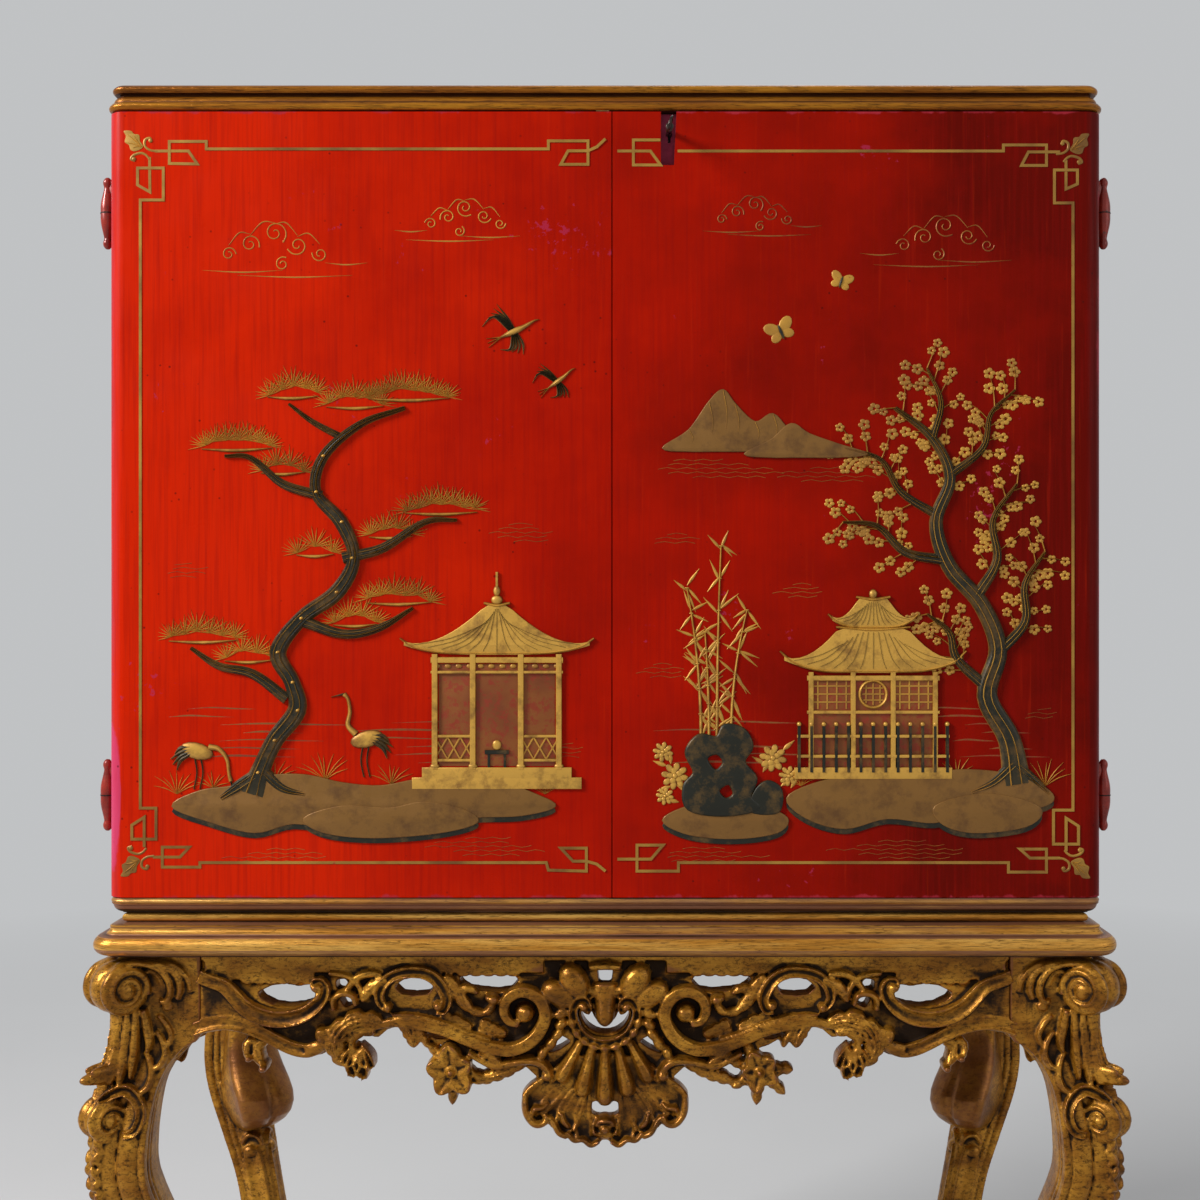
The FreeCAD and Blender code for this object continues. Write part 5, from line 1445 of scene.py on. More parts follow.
def relief_finish(name, foot, body, crest, streak):
    """Gilt and bronzed gesso: dark at its foot, rubbed along its crest."""
    made = finish(name, 0.42, 0.35)
    g = Graph(made)
    wander = g.plus(g.attribute("lift"), g.times(g.math("SUBTRACT", g.noise(150, 4), 0.5), 0.5))
    colour = g.ramp(wander, (0.1, foot), (0.48, body), (0.92, crest))
    colour = g.mix(g.ramp(g.noise(38, 6, 0.7), (0.48, 0), (0.66, 0.75)), colour, streak)
    g.colour(colour)
    g.roughness(g.ramp(g.noise(60, 4), (0.3, 0.3), (0.7, 0.55)))
    g.bump(g.noise(190, 5, 0.7), 0.35, 0.0006)
    return made


def paint_finish(name, fresh, dull, wear):
    """Thin gold paint, rubbed through to the lacquer in places."""
    made = finish(name, 0.45, 0.3)
    g = Graph(made)
    colour = g.ramp(g.noise(16, 4), (0.34, dull), (0.62, fresh))
    g.colour(g.mix(g.ramp(g.noise(130, 5, 0.75), (wear, 0), (wear + 0.08, 0.8)), colour, (0.3, 0.03, 0.01)))
    g.roughness(g.ramp(g.noise(90, 3), (0.3, 0.34), (0.7, 0.6)))
    g.bump(g.noise(300, 3), 0.2, 0.0003)
    return made


GOLD_PAINT = paint_finish("gold_paint", (0.6, 0.31, 0.04), (0.36, 0.16, 0.024), 0.62)
BORDER_PAINT = paint_finish("border_gold", (0.44, 0.235, 0.032), (0.19, 0.08, 0.013), 0.64)
FAINT_PAINT = paint_finish("faint_gold_paint", (0.4, 0.155, 0.022), (0.23, 0.06, 0.012), 0.54)
WASH = paint_finish("gold_wash", (0.3, 0.09, 0.014), (0.21, 0.05, 0.01), 0.5)
GILT_RELIEF = relief_finish("gilt_relief", (0.045, 0.018, 0.005), (0.34, 0.145, 0.016), (0.68, 0.37, 0.058),
    (0.17, 0.066, 0.013))
DARK_RELIEF = relief_finish("bronzed_relief", (0.34, 0.165, 0.028), (0.046, 0.034, 0.012),
    (0.014, 0.014, 0.007), (0.17, 0.09, 0.02))
EARTH_RELIEF = relief_finish("earth_relief", (0.018, 0.009, 0.003), (0.15, 0.062, 0.013),
    (0.24, 0.11, 0.02), (0.11, 0.044, 0.01))

left, right = Picture("left"), Picture("right")

# Line border with frets at the corners and the seam
left_lines = [[(-450, 1493), (-416.6, 1493), (-407.6, 1480), (-435.6, 1480.5), (-435.6, 1502.5),
    (-398.6, 1502.5), (-398.6, 1495), (-56.6, 1495), (-56.6, 1503), (-17, 1503), (-17, 1479.5),
    (-44.2, 1479.5), (-36.9, 1493), (-17, 1493), (-8, 1497), (0.5, 1505)],
    [(-455.4, 1487), (-455, 1452), (-467.4, 1459), (-467.4, 1476), (-441.6, 1476), (-441.6, 1444),
    (-464.6, 1444), (-464.6, 836), (-448.9, 836), (-448.9, 805), (-473, 805), (-473, 819), (-460.6, 827),
    (-460.6, 797)], [(-452, 787), (-425, 787), (-415.6, 797), (-442.6, 797), (-442.6, 777), (-405, 777),
    (-405, 781.5), (-58.6, 781.5), (-56.6, 774), (-18.6, 773), (-18.6, 796), (-44.2, 796), (-32, 783),
    (-18.6, 783), (-8, 780), (0.5, 773)]]
right_lines = [[(12.4, 1493), (45.4, 1493), (55.6, 1479), (28.4, 1479), (28.4, 1504), (55.4, 1504)],
    [(72.6, 1493), (398.4, 1493), (398.4, 1499), (441.4, 1499), (441.4, 1478.5), (416.4, 1478.5),
    (423.4, 1492), (455, 1492)], [(461, 1484), (461, 1455), (472.4, 1460), (472.4, 1474), (449.4, 1474),
    (449.4, 1441), (467.9, 1441), (467.9, 834), (448.4, 834), (448.4, 800), (473.4, 800), (473.4, 818),
    (461, 826), (461, 793)], [(455, 786), (425, 786), (415, 795), (441.4, 795), (441.4, 772), (403.4, 772),
    (403.4, 781.5), (73.4, 781.5), (73.4, 773), (32, 773), (32, 799), (58, 799), (46, 785), (12.4, 785)]]
for picture, lines in ((left, left_lines), (right, right_lines)):
    for line in lines:
        picture.add(BORDER_PAINT, fret(line))


def placed(rows, x, z, side, up=1):
    """Rows moved to a place, and mirrored by their signs."""
    return [(x + side * u, z + up * v, *more) for u, v, *more in rows]


def corner_leaf(picture, x, z, side, up):
    """Small ribbed fan in a corner of the border, between two curled stems."""
    def at(rows):
        return placed(rows, x, z, side, up)

    picture.patch(BORDER_PAINT, at([(5, -3), (-2, -7), (-7, -6), (-9, -1), (-13, 2), (-12, 8), (-14, 13),
        (-7, 13), (-4, 10), (1, 9), (2, 3)]), 0.35, 0.1)
    for u, v in ((-5, -4), (-10, 1), (-11, 10), (-4, 8)):
        picture.stroke(GOLD_PAINT, at([(4, -3, 0.4, 0.7), ((u + 4) / 2 - 1, (v - 3) / 2 + 1, 1.2, 1.1),
            (u, v, 0.4, 0.7)]), NEEDLE, 3)
    picture.stroke(BORDER_PAINT, at([(19, -7, 1.4, 0.6), (12, -6, 1.4, 0.7), (7, -2, 1.5, 0.8),
        (7, 4, 1.6, 0.9), (12, 6, 1.5, 0.8), (13, 2, 1.3, 0.7)]))
    picture.stroke(BORDER_PAINT, at([(11.5, -15, 1.4, 0.6), (8, -11, 1.4, 0.7), (3, -9, 1.5, 0.8),
        (-4, -11, 1.6, 0.9), (-7, -15, 1.5, 0.8), (-3, -17, 1.2, 0.7)]))
    for u, v in ((12.5, 3.5), (-4, -15)):
        picture.knob(BORDER_PAINT, x + side * u, z + up * v, 2.2, 2.2, 1.1)


for picture, x, z, side, up in ((left, -467, 1500, 1, 1), (left, -470, 781, 1, -1),
        (right, 470, 1497, -1, 1), (right, 471, 779, -1, -1)):
    corner_leaf(picture, x, z, side, up)


def pad(picture, x, z, width, reach=23):
    """Flat-topped cushion of pine needles over a twig."""
    count = max(3, int(width / 9))
    for k in range(count):
        s = 2 * k / (count - 1) - 1
        level = z + 6 * (1 - s * s) + chance.uniform(-2, 2)
        picture.fan(x + s * width / 2, level, 12, reach * (1 - 0.25 * abs(s)), 6 - 20 * s, 174 - 20 * s,
            0.8)
    picture.stroke(GILT_RELIEF, [(x - width * 0.55, z - 3, 0.6, 1.2), (x, z - 4.5, 1.9, 2),
        (x + width * 0.55, z - 2, 0.5, 1.2)])


def trunk(picture, path):
    """Bark-ridged limb with gold lights along its upper side."""
    picture.stroke(DARK_RELIEF, path, BARK, 6)
    for share, width in ((0.42, 0.17), (-0.3, 0.1)):
        line = np.array(path, float)
        run = np.gradient(line[:, :2], axis=0)
        run /= np.linalg.norm(run, axis=1)[:, None]
        lights = [(u - rv * half * share, v + ru * half * share, max(half * width, 0.4), rise + 0.7)
            for (u, v, half, rise), (ru, rv) in zip(line, run)]
        picture.stroke(GILT_RELIEF, lights, NEEDLE, 6)


def bank(picture, outline, rise):
    """Island of smooth gesso over a darker lip."""
    picture.patch(DARK_RELIEF, [(x, z - 5.5) for x, z in outline], rise * 0.55, 0.7)
    picture.patch(EARTH_RELIEF, outline, rise, 1)


def mist(picture, x, z, width, rows=7):
    """Level drifts of thin gold over the ground."""
    for k in range(rows):
        span = width * chance.uniform(0.35, 0.9)
        u, v = x + chance.uniform(-0.3, 0.3) * width, z + (k - rows / 2) * 8
        picture.stroke(WASH, [(u - span / 2, v, 0.3, 0.15), (u - span / 6, v + 1.5, chance.uniform(2, 4.2),
            0.15), (u + span / 5, v + 0.5, chance.uniform(1.6, 3.4), 0.15), (u + span / 2, v, 0.3, 0.15)],
            NEEDLE, 5)


def ripples(picture, x, z, width, rows=5):
    for k in range(rows):
        span = width * (1 - abs(2 * k / rows - 0.9) * 0.7) * chance.uniform(0.8, 1)
        u, v = x + chance.uniform(-0.12, 0.12) * width, z - k * 4.2
        steps = int(span / 9)
        picture.stroke(FAINT_PAINT, [(u + span * (m / steps - 0.5), v + (0.9 if m % 2 else -0.9), 0.6, 0.3)
            for m in range(steps + 1)], NEEDLE, 2)


def cloud(picture, x, z, size, side, made):
    """Curled cloud in thin line, with scalloped shoulders and level tails."""
    heads = ((0, 9, 10, 1.5, -50), (-20, 0, 8, 1.4, -20), (18, -1, 8.5, 1.4, 200), (-37, -8, 6, 1.3, 0),
        (36, -8, 6.5, 1.3, 170), (6, -16, 6, 1.3, 60))
    for u, v, start, turns, first in heads:
        path = spiral(x + side * size * u, z + size * v, size * start, size * 1.6, first,
            first + side * 360 * turns, 1, 0.6, 0.85, 18)
        picture.stroke(made, path, NEEDLE, 2)
    for (u, v, *_), (p, q, *_) in zip((heads[3], heads[1], heads[0], heads[2]),
            (heads[1], heads[0], heads[2], heads[4])):
        picture.stroke(made, [(x + side * size * u, z + size * (v + 7), 0.5, 0.4),
            (x + side * size * (u + p) / 2, z + size * ((v + q) / 2 + 13), 1, 0.6),
            (x + side * size * p, z + size * (q + 8), 0.5, 0.4)], NEEDLE, 5)
    for v, first, last in ((-21, -58, 6), (-25, -30, 62), (-15, 40, 74)):
        picture.stroke(made, [(x + side * size * first, z + size * v, 0.3, 0.3),
            (x + side * size * (first + last) / 2, z + size * (v - 1.6), 1.2, 0.5),
            (x + side * size * last, z + size * v, 0.3, 0.3)], NEEDLE, 4)


def grass(picture, x, z, count, reach):
    picture.fan(x, z, count, reach, 28, 152, 0.75, 0.12)


def peony(picture, x, z, size):
    """Layered round flower."""
    for ring, count, long in ((0.78, 8, 0.4), (0.42, 5, 0.34)):
        for k in range(count):
            a = math.tau * (k + ring) / count
            picture.knob(GILT_RELIEF, x + size * ring * math.cos(a), z + size * ring * math.sin(a),
                size * long, size * 0.28, 1.7 - ring * 0.6, math.degrees(a), 9)
    picture.knob(GILT_RELIEF, x, z, size * 0.24, size * 0.24, 2.1)


def blossom_of_five(picture, x, z, size):
    for k in range(5):
        a = math.radians(90 + 72 * k) + x
        picture.knob(GOLD_PAINT, x + size * 0.6 * math.cos(a), z + size * 0.6 * math.sin(a), size * 0.46,
            size * 0.4, 0.9, 0, 7)


def leaf(picture, x, z, long, turn, half=2.6):
    a = math.radians(turn)
    u, v = math.cos(a), math.sin(a)
    picture.stroke(GOLD_PAINT, [(x, z, 0.4, 0.6), (x + u * long * 0.4, z + v * long * 0.4, half, 1),
        (x + u * long, z + v * long, 0.3, 0.4)], STROKE, 3)


def roof(picture, x, z, half, height, ridge, eaves=9):
    """Curved roof with lifted corners, ribs and a moulded eave."""
    def fall(s):
        """Share of the way from the ridge's end to the eave."""
        return max(0, (abs(s) * half - ridge) / (half - ridge))

    def lift(s):
        return eaves * abs(s) ** 3.2

    run = [(x + half * s, z + lift(s)) for s in np.linspace(-1, 1, 25)]
    top = [(x + half * s, z + 2.5 + lift(s) + height * (1 - fall(s)) ** 1.7)
        for s in np.linspace(1, -1, 25)]
    picture.patch(GILT_RELIEF, run + top, 2.6, 0.8, even=False)
    for s in np.linspace(-0.9, 0.9, 13):
        foot = z + 3 + lift(s)
        head = z + height * (1 - 0.35 * fall(s))
        x_top = x + s * max(ridge, 2)
        mid = ((x + s * half + x_top) / 2, foot + (head - foot) * 0.3)
        picture.stroke(DARK_RELIEF, [(x + s * half, foot, 0.9, 3.1), (*mid, 0.8, 3.2),
            (x_top, head, 0.6, 3.2)], NEEDLE, 4)
    for side in (1, -1):
        picture.stroke(GILT_RELIEF, [(x, z + 1, 2, 3.6), (x + side * half * 0.55, z + 1.6, 2, 3.6),
            (x + side * half * 0.9, z + eaves * 0.8, 2, 3.6), (x + side * (half + 5), z + eaves * 1.75, 1,
            3)])
    picture.stroke(GILT_RELIEF, [(x - ridge - 3, z + height + 5, 1.4, 3.4), (x, z + height + 2.2, 2.4, 3.8),
        (x + ridge + 3, z + height + 5, 1.4, 3.4)])


# Left door: bank, pine, pavilion and cranes
mist(left, -360, 915, 150)
mist(left, -170, 905, 190, 6)
bank(left, [(-432, 838), (-405, 853), (-372, 858), (-338, 868), (-300, 869), (-262, 861), (-225, 858),
    (-190, 864), (-150, 868), (-105, 862), (-70, 850), (-50, 838), (-84, 829), (-130, 827), (-160, 818),
    (-210, 823), (-260, 814), (-310, 821), (-350, 812), (-395, 823)], 2.4)
bank(left, [(-300, 826), (-262, 838), (-215, 836), (-180, 842), (-140, 834), (-128, 822), (-165, 812),
    (-230, 807), (-280, 812)], 3.2)
pine = [(-352, 850, 15, 3), (-345, 872, 10, 4.6), (-330, 904, 9, 4.8), (-308, 934, 9.6, 5),
    (-313, 962, 8, 5), (-327, 992, 8.6, 5), (-303, 1026, 7.6, 5), (-268, 1052, 8.2, 4.8),
    (-251, 1086, 6.6, 4.8), (-264, 1122, 7.2, 4.6), (-289, 1152, 5.8, 4.4), (-281, 1188, 5.4, 4.2),
    (-244, 1220, 4, 3.8), (-200, 1236, 2.4, 3)]
trunk(left, pine)
for path in ([(-345, 872, 6, 3.5), (-366, 858, 6, 3.5), (-384, 846, 3, 2.6)],
        [(-340, 872, 6, 4), (-322, 856, 5, 3.4), (-300, 850, 2.4, 2.6)],
        [(-318, 945, 6, 4), (-352, 970, 5, 3.6), (-386, 978, 4, 3.2), (-414, 996, 2, 2.4)],
        [(-300, 1022, 6, 4), (-262, 1010, 5, 3.6), (-226, 1016, 4, 3.2), (-192, 1036, 2, 2.4)],
        [(-262, 1086, 6, 4), (-222, 1096, 5, 3.6), (-180, 1122, 3.5, 3), (-148, 1124, 1.8, 2.4)],
        [(-283, 1148, 5.5, 4), (-322, 1160, 4.5, 3.4), (-354, 1186, 3, 3), (-380, 1188, 1.8, 2.4)],
        [(-262, 1206, 4, 3.4), (-292, 1222, 3, 3), (-316, 1240, 1.6, 2.4)]):
    trunk(left, path)
for x, z, width in ((-402, 1006, 62), (-356, 986, 44), (-206, 1044, 60), (-250, 1022, 40), (-164, 1134, 66),
        (-214, 1110, 40), (-368, 1198, 64), (-322, 1174, 40), (-196, 1248, 74), (-250, 1240, 52),
        (-312, 1250, 46), (-290, 1092, 34)):
    pad(left, x, z, width)
for x, z, half, rise in pine[1:-2]:
    left.knob(GILT_RELIEF, x + chance.uniform(-2, 2), z, 3, 2, rise + 0.8, 30)

x0 = -108
for low, high, half in ((856, 866, 84), (866, 876, 74)):
    left.slab(GILT_RELIEF, x0 - half, low, x0 + half, high, 2.6, 0.8)
left.slab(WASH, x0 - 58, 878, x0 + 58, 980, 0.2, 0.1)
for x in (-62, -24, 24, 62):
    left.bar(GILT_RELIEF, x0 + x, 875, x0 + x, 990, 3, 3)
    left.knob(GILT_RELIEF, x0 + x, 878, 5, 3, 3.4, 0, 10)
for a, b in ((-62, -24), (24, 62)):
    for z in (884, 908):
        left.bar(GILT_RELIEF, x0 + a, z, x0 + b, z, 1.4, 2.2)
    for k in range(3):
        u = a + (b - a) * k / 3
        left.bar(GOLD_PAINT, x0 + u, 885, x0 + u + (b - a) / 3, 907, 0.8, 1.2)
        left.bar(GOLD_PAINT, x0 + u, 907, x0 + u + (b - a) / 3, 885, 0.8, 1.2)
for z, half in ((972, 1.4), (984, 3)):
    left.bar(GILT_RELIEF, x0 - 66, z, x0 + 66, z, half, 2.6)
for k in range(12):
    u = -60 + 120 * k / 11
    left.knob(GOLD_PAINT, x0 + u, 978, 3.4, 2.4, 1.4)
roof(left, x0, 990, 92, 46, 10)
left.knob(GILT_RELIEF, x0, 1044, 6, 5, 4, 0, 12)
left.knob(GILT_RELIEF, x0, 1053, 3.6, 5.5, 3.6, 0, 12)
left.bar(GILT_RELIEF, x0, 1056, x0, 1072, 1.2, 2.4)
left.bar(DARK_RELIEF, x0 - 12, 892, x0 + 12, 892, 2.2, 2.2)
for x in (-8, 8):
    left.bar(DARK_RELIEF, x0 + x, 877, x0 + x, 891, 1.3, 1.8)
left.knob(GILT_RELIEF, x0, 899, 5, 5.5, 2.6, 0, 10)


def crane(picture, x, z, side, bent):
    """Standing crane with dark plumes; one of the pair bends to feed."""
    def at(rows):
        return placed(rows, x, z, side)

    picture.knob(GILT_RELIEF, x, z, 17, 8.5, 3.4, -14 * side, 14)
    for drop, long in ((0, 26), (-4, 24), (-8, 20), (4, 22)):
        picture.stroke(DARK_RELIEF, at([(-6, drop * 0.6 + 2, 2.4, 3.2), (-16, drop - 1, 2.4, 3),
            (-long, drop * 1.4 - 8, 0.6, 1.4)]))
    if bent:
        neck, beak = [(12, 4, 3.6, 3), (22, 2, 2.8, 2.8), (30, -8, 2.2, 2.6), (32, -22, 1.9, 2.4),
            (34, -30, 2.6, 2.6)], (3, -14)
    else:
        neck, beak = [(11, 5, 3.8, 3), (19, 14, 2.8, 2.8), (17, 27, 2.2, 2.6), (19, 40, 1.9, 2.4),
            (23, 45, 2.8, 2.6)], (13, -3)
    picture.stroke(GILT_RELIEF, at(neck))
    u, v = neck[-1][:2]
    picture.stroke(DARK_RELIEF, at([(u, v, 1.3, 2.2), (u + beak[0], v + beak[1], 0.3, 1)]))
    for a in (-2, 4):
        picture.stroke(DARK_RELIEF, at([(a, -7, 1.1, 1.8), (a + 2, -22, 0.9, 1.4), (a - 1, -38, 0.9, 1.4)]))


crane(left, -408, 893, 1, True)
crane(left, -238, 905, -1, False)
for x, z, count, reach in ((-428, 850, 9, 30), (-330, 864, 7, 24), (-280, 864, 9, 34), (-214, 860, 8, 26),
        (-60, 850, 9, 30), (-392, 856, 7, 22), (-172, 838, 7, 20)):
    grass(left, x, z, count, reach)
for x, z, width, rows in ((-330, 795, 120, 4), (-120, 806, 130, 5), (-80, 1120, 70, 5), (-40, 900, 46, 4),
        (-420, 1080, 50, 4), (-66, 960, 50, 3)):
    ripples(left, x, z, width, rows)
cloud(left, -330, 1400, 1.25, 1, GOLD_PAINT)
cloud(left, -140, 1428, 0.95, -1, GOLD_PAINT)


def flying(picture, x, z, size, side, tilt):
    """Bird in flight with spread wings."""
    a = math.radians(tilt)

    def at(rows):
        return [(x + side * size * (u * math.cos(a) - v * math.sin(a)),
            z + size * (u * math.sin(a) + v * math.cos(a)), h * size, r) for u, v, h, r in rows]

    picture.stroke(GILT_RELIEF, at([(-12, -2, 0.8, 1.4), (0, 0, 3.2, 2.6), (10, 2, 2.2, 2.2),
        (20, 5, 1.1, 1.6), (25, 5, 0.3, 1)]))
    for k in range(6):
        picture.stroke(DARK_RELIEF, at([(2 - k, 2, 0.9, 1.8), (-2 - k * 2.2, 14 + k * 0.6, 1.5, 1.6),
            (-8 - k * 3.4, 27 - k * 3.2, 0.3, 0.8)]), NEEDLE, 4)
    for k in range(5):
        picture.stroke(DARK_RELIEF, at([(3 - k, -1, 0.9, 1.8), (6 - k * 3, -12 - k * 0.4, 1.4, 1.5),
            (4 - k * 4.6, -21 + k * 2.2, 0.3, 0.8)]), NEEDLE, 4)
    for k in (-1, 0, 1):
        picture.stroke(GILT_RELIEF, at([(-11, -2, 0.9, 1.4), (-24, -4 + 4 * k, 0.3, 0.8)]), NEEDLE, 2)


flying(left, -92, 1312, 1.15, 1, 14)
flying(left, -48, 1262, 0.9, 1, 26)

# Right door: islet with a pierced rock, tea house, plum tree, far peaks and butterflies
mist(right, 130, 905, 130, 6)
mist(right, 380, 915, 120)
bank(right, [(182, 846), (214, 862), (262, 870), (310, 866), (352, 874), (404, 870), (440, 856), (446, 842),
    (410, 832), (368, 834), (330, 822), (282, 826), (240, 816), (202, 826)], 2.4)
bank(right, [(58, 824), (84, 838), (120, 842), (156, 838), (182, 826), (172, 812), (130, 806), (84, 810)],
    2.6)
bank(right, [(330, 838), (372, 850), (410, 846), (436, 834), (420, 818), (370, 812), (338, 820)], 3.3)
right.patch(DARK_RELIEF, [(84, 836), (80, 858), (90, 872), (82, 892), (94, 908), (112, 906), (120, 918),
    (138, 914), (146, 898), (138, 882), (150, 866), (144, 848), (152, 836), (118, 830)], 4.2, 2.6,
    [[(100, 886), (112, 892), (120, 882), (110, 872)], [(112, 854), (124, 862), (130, 850), (120, 844)]])
right.patch(DARK_RELIEF, [(146, 834), (150, 852), (162, 862), (174, 856), (176, 842), (170, 832)], 3.6, 2.2)
for x, z, size in ((70, 868, 12), (58, 892, 9), (168, 886, 12), (184, 868, 9), (60, 848, 8)):
    peony(right, x, z, size)
for x, z, turn in ((84, 852, 150), (78, 860, 118), (66, 880, 96), (66, 858, 200), (158, 872, 60),
        (172, 876, 128), (176, 858, 34), (74, 842, 168), (186, 856, 60), (62, 878, 160), (160, 880, 150),
        (178, 894, 40)):
    leaf(right, x, z, 15, turn)
for x, top, lean in ((96, 1056, -14), (112, 1098, 4), (126, 1034, 16), (104, 1012, -4)):
    joints = [(x + lean * s * s, 905 + (top - 905) * s, 1.9 - s, 1.6) for s in np.linspace(0, 1, 7)]
    right.stroke(GILT_RELIEF, joints, STROKE, 3)
    for u, v, _, _ in joints[1:]:
        right.knob(GILT_RELIEF, u, v, 2.6, 0.9, 2)
        for _ in range(4):
            leaf(right, u, v + chance.uniform(-4, 4), chance.uniform(16, 26),
                chance.choice((-1, 1)) * chance.uniform(20, 70) + chance.choice((0, 180)), 1.7)

x0, low = 268, 874
right.slab(GILT_RELIEF, x0 - 78, low - 8, x0 + 78, low + 2, 2.8, 0.8)
right.slab(WASH, x0 - 60, low, x0 + 60, 968, 0.5, 0.2)
for x in (-62, -20, 20, 62):
    right.bar(GILT_RELIEF, x0 + x, low, x0 + x, 972, 2.6, 3)
for z, half in ((932, 1.6), (966, 2.6)):
    right.bar(GILT_RELIEF, x0 - 66, z, x0 + 66, z, half, 2.8)
ring = [(x0 + 13.5 * math.cos(math.tau * k / 16), 950 + 13.5 * math.sin(math.tau * k / 16), 1.8, 2.8)
    for k in range(17)]
right.stroke(GILT_RELIEF, ring, STROKE, 2)
for k in (-1, 0, 1):
    right.bar(GOLD_PAINT, x0 + 7 * k, 939 + abs(k) * 2, x0 + 7 * k, 961 - abs(k) * 2, 0.7, 1.2)
    right.bar(GOLD_PAINT, x0 - 11 + abs(k), 950 + 6 * k, x0 + 11 - abs(k), 950 + 6 * k, 0.7, 1.2)
for a, b in ((-60, -22), (22, 60)):
    for k in range(4):
        u = a + (b - a) * (k + 0.5) / 4
        right.bar(GOLD_PAINT, x0 + u, 935, x0 + u, 963, 0.8, 1)
    for z in (942, 950, 958):
        right.bar(GOLD_PAINT, x0 + a, z, x0 + b, z, 0.7, 1)
for k in range(13):
    u = -74 + 148 * k / 12
    right.bar(DARK_RELIEF, x0 + u, low - 2, x0 + u, 918, 1.6, 3.4)
    right.knob(GILT_RELIEF, x0 + u, 920, 2.6, 2.8, 3.8)
for z in (888, 908):
    right.bar(GILT_RELIEF, x0 - 76, z, x0 + 76, z, 1.6, 3.2)
roof(right, x0, 972, 88, 40, 34, 12)
roof(right, x0, 1016, 40, 26, 14, 8)
right.knob(GILT_RELIEF, x0, 1050, 4.2, 5, 4, 0, 12)

plum = [(412, 860, 15, 3.2), (404, 905, 11.5, 4.6), (382, 948, 10.5, 5), (393, 995, 9.5, 5),
    (376, 1040, 8.6, 4.8), (344, 1078, 8, 4.6), (331, 1122, 7, 4.4), (345, 1166, 6, 4),
    (327, 1206, 4.6, 3.6), (290, 1236, 2.4, 3)]
trunk(right, plum)
twigs = [[(384, 955, 6, 4), (352, 985, 4.6, 3.4), (344, 1012, 3.2, 3), (322, 1030, 1.4, 2)],
    [(392, 990, 6, 4), (420, 1022, 4.6, 3.4), (420, 1060, 3.4, 3), (440, 1092, 1.4, 2)],
    [(372, 1048, 6, 4), (392, 1084, 4.6, 3.4), (388, 1124, 3.2, 3), (412, 1160, 1.4, 2)],
    [(340, 1084, 5.6, 4), (300, 1092, 4.4, 3.4), (272, 1118, 3, 3), (238, 1122, 1.4, 2)],
    [(334, 1128, 5, 3.8), (296, 1152, 3.6, 3.2), (276, 1184, 2.6, 2.6), (240, 1196, 1.2, 2)],
    [(344, 1168, 4.6, 3.6), (378, 1196, 3.4, 3), (386, 1230, 2.4, 2.6), (410, 1254, 1.2, 2)],
    [(328, 1206, 4, 3.4), (336, 1242, 2.8, 2.8), (322, 1276, 1.2, 2)]]
for path in twigs + [[(408, 880, 6, 3.6), (388, 862, 5, 3), (366, 852, 2.4, 2.4)],
        [(412, 878, 6, 3.6), (432, 862, 4, 3), (444, 850, 2, 2.4)]]:
    trunk(right, path)
for path in twigs + [plum[6:]]:
    line = smooth_line(path, 5)
    for k in range(3, len(line)):
        x, z = line[k][:2]
        side = 1 if k % 2 else -1
        run = line[k][:2] - line[k - 1][:2]
        a = math.atan2(run[1], run[0]) + side * chance.uniform(0.6, 1.1)
        r = chance.uniform(18, 34)
        tip = (x + r * math.cos(a), z + r * math.sin(a))
        right.stroke(GILT_RELIEF, [(x, z, 1, 1.8), ((x + tip[0]) / 2 + 1, (z + tip[1]) / 2 + 1, 0.8, 1.4),
            (*tip, 0.4, 1)], NEEDLE, 3)
        for s in (0.55, 1):
            blossom_of_five(right, x + (tip[0] - x) * s + chance.uniform(-3, 3),
                z + (tip[1] - z) * s + chance.uniform(-3, 3), chance.uniform(4.2, 6.2))
for x, z, count, reach in ((196, 858, 8, 26), (352, 866, 8, 26), (440, 858, 9, 32), (226, 864, 7, 20),
        (300, 838, 7, 20), (150, 838, 7, 22), (398, 846, 7, 22)):
    grass(right, x, z, count, reach)
high_peaks = [(58, 0), (84, 18), (104, 46), (118, 58), (130, 44), (150, 26), (168, 34), (186, 16), (214, 0)]
low_peaks = [(140, 0), (166, 14), (186, 30), (204, 20), (232, 10), (262, 0)]
for base, height, peaks in ((1196, 1.5, high_peaks), (1190, 2.3, low_peaks)):
    slope = [(x, base + rise) for x, rise in peaks]
    right.patch(EARTH_RELIEF, slope + [(x, base - 3) for x, _ in peaks[-2:0:-1]], height, 0.9)
    for k in range(1, len(peaks) - 1):
        x, rise = peaks[k]
        right.stroke(GILT_RELIEF, [(x, base + rise, 0.8, 2.2), (x + 4, base + rise * 0.6, 0.7, 2),
            (x + 3, base + rise * 0.3, 0.2, 1.6)], NEEDLE, 3)
for x, z, width, rows in ((110, 1184, 150, 5), (215, 1176, 110, 4), (110, 796, 120, 4), (300, 803, 150, 5),
        (60, 980, 60, 4), (196, 1060, 54, 4), (70, 1110, 60, 3), (438, 935, 40, 3)):
    ripples(right, x, z, width, rows)
cloud(right, 340, 1408, 1.15, -1, FAINT_PAINT)
cloud(right, 150, 1432, 0.9, 1, FAINT_PAINT)


def butterfly(picture, x, z, size, turn):
    for side in (1, -1):
        for angle, long, wide in ((38, 9.5, 4.6), (-28, 7, 3.8)):
            a = math.radians(turn + 90 - side * (90 - angle))
            picture.knob(GOLD_PAINT, x + size * long * 0.75 * math.cos(a),
                z + size * long * 0.75 * math.sin(a), size * long * 0.72, size * wide, 0.9, math.degrees(a),
                12)
    picture.knob(DARK_RELIEF, x, z, size * 1.3, size * 6.5, 2, turn)


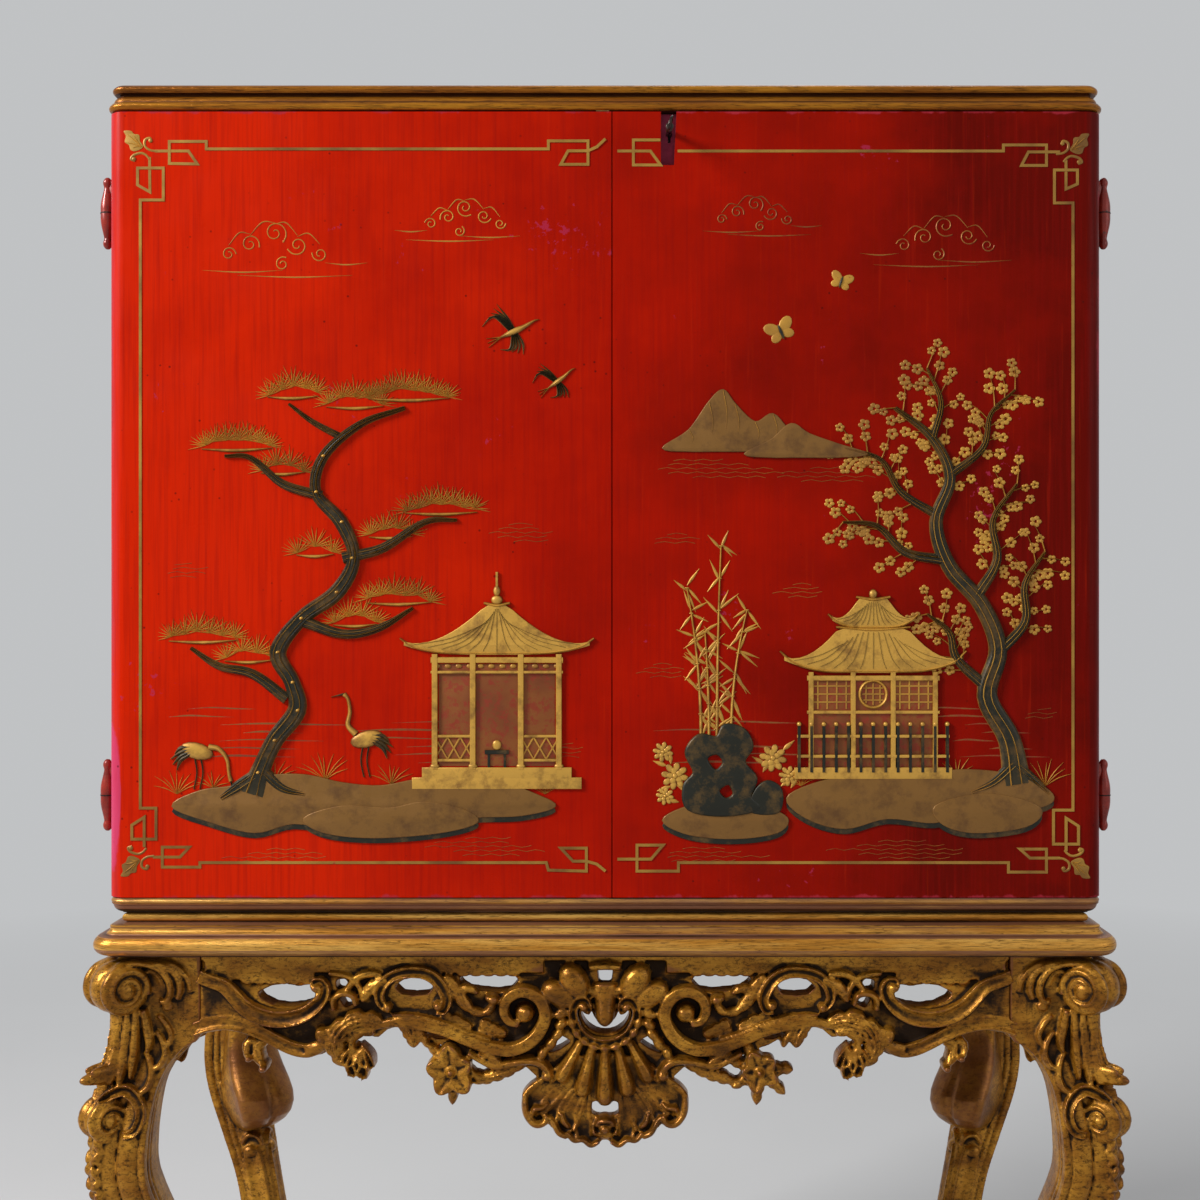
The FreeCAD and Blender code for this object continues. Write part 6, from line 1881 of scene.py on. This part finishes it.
butterfly(right, 176, 1312, 1.3, 24)
butterfly(right, 236, 1362, 1, -18)
left.finish()
right.finish()


# Room, light and camera

BACKDROP = (0.53, 0.54, 0.55)
LAMP_AIM = Vector((0, 0, 0.9))


def seen_by_eye(tree):
    """One for rays that reach the eye, also by way of metal or glass."""
    path = tree.nodes.new("ShaderNodeLightPath")
    total = path.outputs["Is Camera Ray"]
    for name in ("Is Glossy Ray", "Is Transmission Ray"):
        join = tree.nodes.new("ShaderNodeMath")
        join.operation = "MAXIMUM"
        tree.links.new(total, join.inputs[0])
        tree.links.new(path.outputs[name], join.inputs[1])
        total = join.outputs[0]
    return total


def floor_finish():
    """Pale floor that keeps the cabinet's shadow and passes into the backdrop's grey far away."""
    made = finish("pale_floor", 0.9)
    g = Graph(made)
    g.colour(g.ramp(g.noise(1.2, 3), (0.3, (0.62, 0.62, 0.62)), (0.7, (0.65, 0.65, 0.65))))
    far = g.node("ShaderNodeVectorMath", operation="LENGTH")
    g.link(g.place, far.inputs[0])
    share = g.math("DIVIDE", g.math("SUBTRACT", far.outputs["Value"], 1.3), 2.6, clamp=True)
    glow = g.node("ShaderNodeEmission")
    glow.inputs[0].default_value = (*BACKDROP, 1)
    blend = g.node("ShaderNodeMixShader")
    g.link(g.times(share, seen_by_eye(g.tree)), blend.inputs[0])
    g.link(g.shader.outputs[0], blend.inputs[1])
    g.link(glow.outputs[0], blend.inputs[2])
    g.link(blend.outputs[0], g.tree.nodes["Material Output"].inputs[0])
    return made


def room_light(world):
    """Soft even light; the eye sees the backdrop's grey instead."""
    world.use_nodes = True
    tree = world.node_tree
    light = tree.nodes["Background"]
    light.inputs[0].default_value = (0.8, 0.81, 0.83, 1)
    light.inputs[1].default_value = 0.34
    seen = tree.nodes.new("ShaderNodeBackground")
    seen.inputs[0].default_value = (*BACKDROP, 1)
    blend = tree.nodes.new("ShaderNodeMixShader")
    tree.links.new(seen_by_eye(tree), blend.inputs[0])
    tree.links.new(light.outputs[0], blend.inputs[1])
    tree.links.new(seen.outputs[0], blend.inputs[2])
    tree.links.new(blend.outputs[0], tree.nodes["World Output"].inputs[0])


def studio():
    """Wide floor, plain soft lamps, and the photograph's camera."""
    bpy.ops.mesh.primitive_circle_add(vertices=96, radius=14, fill_type="NGON", location=(0, 0, 0))
    ground = bpy.context.object
    ground.name = "studio_floor"
    ground.data.materials.append(floor_finish())
    for name, place, size, power in (("window_left", (-3.2, -1.75, 3.1), 1, 170),
            ("window_right", (3, -2.2, 2), 2.2, 14), ("behind", (0.4, 2.4, 3.8), 2, 42)):
        lamp = bpy.data.lights.new(name, "AREA")
        lamp.shape, lamp.size, lamp.energy = "SQUARE", size, power
        holder = add_object(name, lamp)
        holder.location = place
        holder.rotation_euler = (LAMP_AIM - Vector(place)).to_track_quat("-Z", "Y").to_euler()
    world = bpy.data.worlds.new("soft_room")
    bpy.context.scene.world = world
    room_light(world)
    view = bpy.data.cameras.new("photo_camera")
    view.lens, view.sensor_width = 45, 36
    view.shift_x, view.shift_y = -0.0333, 0.0042
    view.clip_start, view.clip_end = 0.02, 30
    holder = add_object("photo_camera", view)
    holder.location = (0.035, -1.71, 1.039)
    holder.rotation_euler = (math.radians(90), 0, 0)
    bpy.context.scene.camera = holder
    bpy.context.scene.view_settings.view_transform = "Standard"


studio()
